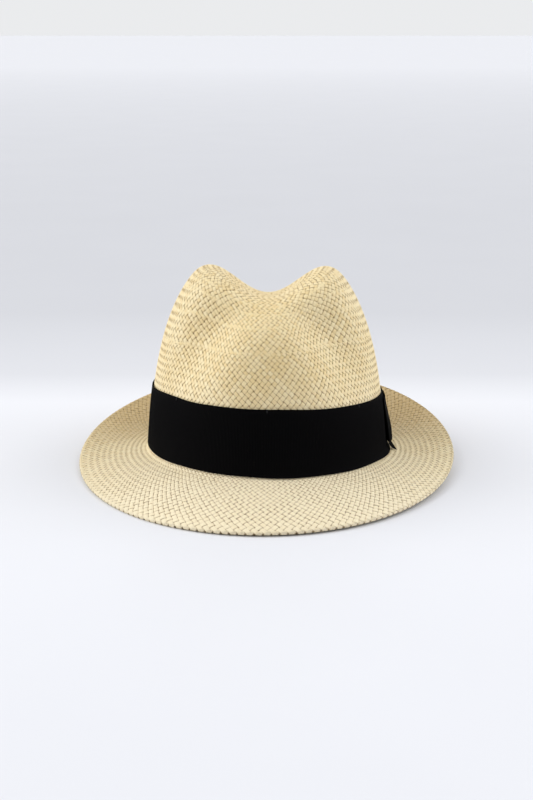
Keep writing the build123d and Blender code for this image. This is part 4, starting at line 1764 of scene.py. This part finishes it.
@dataclass
class Tacks:
    """Black thread tacks that hold the ribbon and the bow."""

    lining: Lining
    ribbon: HatRibbon
    side_bow: SideBow
    angles: tuple[float, ...] = (0, 50, 140, 180, 230, 310)
    length: float = 3.0
    width: float = 0.4
    band_drop: float = 0.8
    bow_below: float = 1.4
    bow_above: float = 1.2
    bow_turn: float = math.radians(1.5)

    def build(self, finish: bpy.types.Material) -> list[bpy.types.Object]:
        """Make the ribbon's tacks and the bow's tacks.

        Args:
            finish: The thread material.

        Returns:
            The pieces.
        """
        ribbon, lining = self.ribbon, self.lining
        out = ribbon.seat + ribbon.thick + self.side_bow.gap
        slope = math.sin(math.radians(ribbon.top_skew))
        band, bow = MeshPart(), MeshPart()
        for degrees in self.angles:
            angle = math.radians(degrees)
            drop = ribbon.form.half_width * math.sin(angle) * slope
            drop += ribbon.side_dip * math.sin(angle) ** 2
            height = ribbon.top - drop - self.band_drop
            band.add(lining.thread(angle, height, out, self.length, 90, self.width))
        foot = ribbon.foot + self.side_bow.foot
        for height in (foot - self.bow_below, foot + self.side_bow.tall + self.bow_above):
            for side in (-1, 1):
                angle = ribbon.bow_angle + side * self.bow_turn
                bow.add(lining.thread(angle, height, out, self.length, 0, self.width))
        pieces = []
        rows = [("ribbon_tacks", band, "band_tacks"), ("bow_tacks_thread", bow, "bow_tacks")]
        for name, part, node in rows:
            piece = part.build(name, finish, "black_thread")
            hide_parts(node)
            pieces.append(piece)
        return pieces


# ------------------------------------------------------------------ studio


@dataclass(frozen=True)
class SoftLamp:
    """One very soft distant light.

    The azimuth is the side it comes from, from the front towards +x; the elevation is above the
    horizon and the spread is its angular size, all in degrees. The power is in watts a square
    metre.
    """

    name: str
    azimuth: float
    elevation: float
    power: float
    spread: float
    tint: Triple

    def build(self) -> None:
        """Add the light to the scene."""
        light = bpy.data.lights.new(self.name, "SUN")
        light.energy = self.power
        light.angle = math.radians(self.spread)
        light.color = self.tint
        lamp = bpy.data.objects.new(self.name, light)
        lamp.rotation_euler = (math.radians(90 - self.elevation), 0, math.radians(self.azimuth))
        bpy.context.scene.collection.objects.link(lamp)


@dataclass
class Studio:
    """Pale floor, soft lights and the camera."""

    form: HatForm
    distance: float = 881.868
    height: float = 298.162
    pitch: float = 16.154
    lens: float = 58.2
    sideways: float = -0.0007
    floor_size: float = 40.0
    bright: Triple = (0.82, 0.832, 0.88)
    grey: Triple = (0.595, 0.605, 0.645)
    air_tint: Triple = (0.975, 0.985, 1.0)
    air_turn: Pair = (-0.95, -0.25)
    dim_air: float = 0.1
    bright_air: float = 0.82
    shown_air: float = 0.85
    lamps: tuple[SoftLamp, ...] = (
        SoftLamp("left_softbox", -92, 32, 1.65, 60, (1.0, 0.985, 0.955)),
        SoftLamp("right_softbox", 92, 32, 1.15, 60, (1.0, 1.0, 1.0)),
    )

    def floor(self) -> bpy.types.Object:
        """Pale floor with painted shade: it darkens evenly behind the hat and a little in front of
        it, where the light falls off.

        Returns:
            The floor object.
        """
        size = self.floor_size
        corners = [(-size, -size, 0), (size, -size, 0), (size, size, 0), (-size, size, 0)]
        mesh = bpy.data.meshes.new("floor")
        mesh.from_pydata(corners, [], [(0, 1, 2, 3)])
        shader = Shader("studio_floor", 0.6)
        place = shader.place()
        depth = shader.part(place, "Y")
        # Painted shade: grey bands behind and in front of the hat stand in for light falling off
        # across the floor.
        back = depth.remap(0.15, 0.24, 0.0, 0.6) + depth.remap(0.24, 0.5, 0.0, 0.4)
        back = back - depth.remap(1.2, 9.0, 0.0, 0.65) + depth.remap(-0.5, -0.1, 0.3, 0.0)
        paper = shader.noise(place, 6.0, 2.0).remap(0.3, 0.7, 0.985, 1.0)
        tint = shader.mix(back, self.bright, self.grey)
        shader.link("Base Color", shader.darken(tint, paper))
        mesh.materials.append(shader.material)
        floor = bpy.data.objects.new("floor", mesh)
        bpy.context.scene.collection.objects.link(floor)
        return floor

    def air(self) -> None:
        """Light from all round, dimmer from the front; what shows of it is one even tone."""
        world = bpy.data.worlds.new("studio_air")
        world.use_nodes = True
        tree = world.node_tree
        around = tree.nodes.new("ShaderNodeTexCoord")
        parts = tree.nodes.new("ShaderNodeSeparateXYZ")
        ramp = tree.nodes.new("ShaderNodeMapRange")
        ramp.interpolation_type = "SMOOTHSTEP"
        for key, value in enumerate((*self.air_turn, self.dim_air, self.bright_air), start=1):
            ramp.inputs[key].default_value = value
        seen = tree.nodes.new("ShaderNodeLightPath")
        shown = tree.nodes.new("ShaderNodeMix")
        shown.inputs[3].default_value = self.shown_air
        back = tree.nodes["Background"]
        back.inputs["Color"].default_value = colour(self.air_tint)
        tree.links.new(around.outputs["Generated"], parts.inputs[0])
        tree.links.new(parts.outputs["Y"], ramp.inputs[0])
        tree.links.new(seen.outputs["Is Camera Ray"], shown.inputs[0])
        tree.links.new(ramp.outputs[0], shown.inputs[2])
        tree.links.new(shown.outputs[0], back.inputs["Strength"])
        bpy.context.scene.world = world

    def camera(self) -> None:
        """Camera in front of the hat, above the lowest point of its fold and brim."""
        data = bpy.data.cameras.new("camera")
        data.lens = self.lens
        data.clip_end = 100
        data.shift_x = self.sideways
        camera = bpy.data.objects.new("camera", data)
        angle = np.linspace(0, TAU, 181)[None, :]
        low = self.form.place(self.form.skin(angle, np.linspace(1, 3, 90)[:, None]))
        across, along = self.form.shift[0] * MM, (self.form.shift[1] - self.distance) * MM
        camera.location = (across, along, self.height * MM + low[..., 2].min())
        camera.rotation_euler = (math.radians(90 - self.pitch), 0, 0)
        bpy.context.scene.collection.objects.link(camera)
        bpy.context.scene.camera = camera

    def build(self) -> None:
        """Make the floor, the lights, the world and the camera."""
        self.floor()
        for lamp in self.lamps:
            lamp.build()
        self.air()
        bpy.context.scene.view_settings.view_transform = "Standard"
        self.camera()


def finishes() -> dict[str, bpy.types.Material]:
    """Make every material of the hat.

    Returns:
        Materials by slot of the record.
    """
    black, black_shade = (0.02, 0.02, 0.022), (0.01, 0.01, 0.01)
    cream, cream_shade = (0.72, 0.64, 0.48), (0.5, 0.42, 0.3)
    looks = [
        StrawFinish(),
        GrosgrainFinish(),
        WovenFinish("black_thread", black, black_shade, 0.6, 1.0),
        WovenFinish("cream_thread", cream, cream_shade, 0.6, 1.0),
        LeatherFinish(),
        WovenFinish("tape", (0.62, 0.55, 0.43), (0.45, 0.39, 0.3)),
        WovenFinish("tab_cloth", (0.82, 0.8, 0.75), (0.66, 0.64, 0.6), 0.4),
        ReedFinish(),
    ]
    return {look.name: look.build() for look in looks}


def main() -> None:
    """Build the hat and its studio."""
    logging.basicConfig(level=logging.INFO, format="%(message)s")
    looks = finishes()
    form = HatForm()
    ribbon = HatRibbon(form)
    side_bow = SideBow(ribbon)
    lining = Lining(form)
    StrawWeave(form).build(looks["straw"])
    ribbon.build(looks["grosgrain"])
    side_bow.build(looks["grosgrain"])
    lining.build(looks)
    Tacks(lining, ribbon, side_bow).build(looks["black_thread"])
    Studio(form).build()


if __name__ == "__main__":
    main()
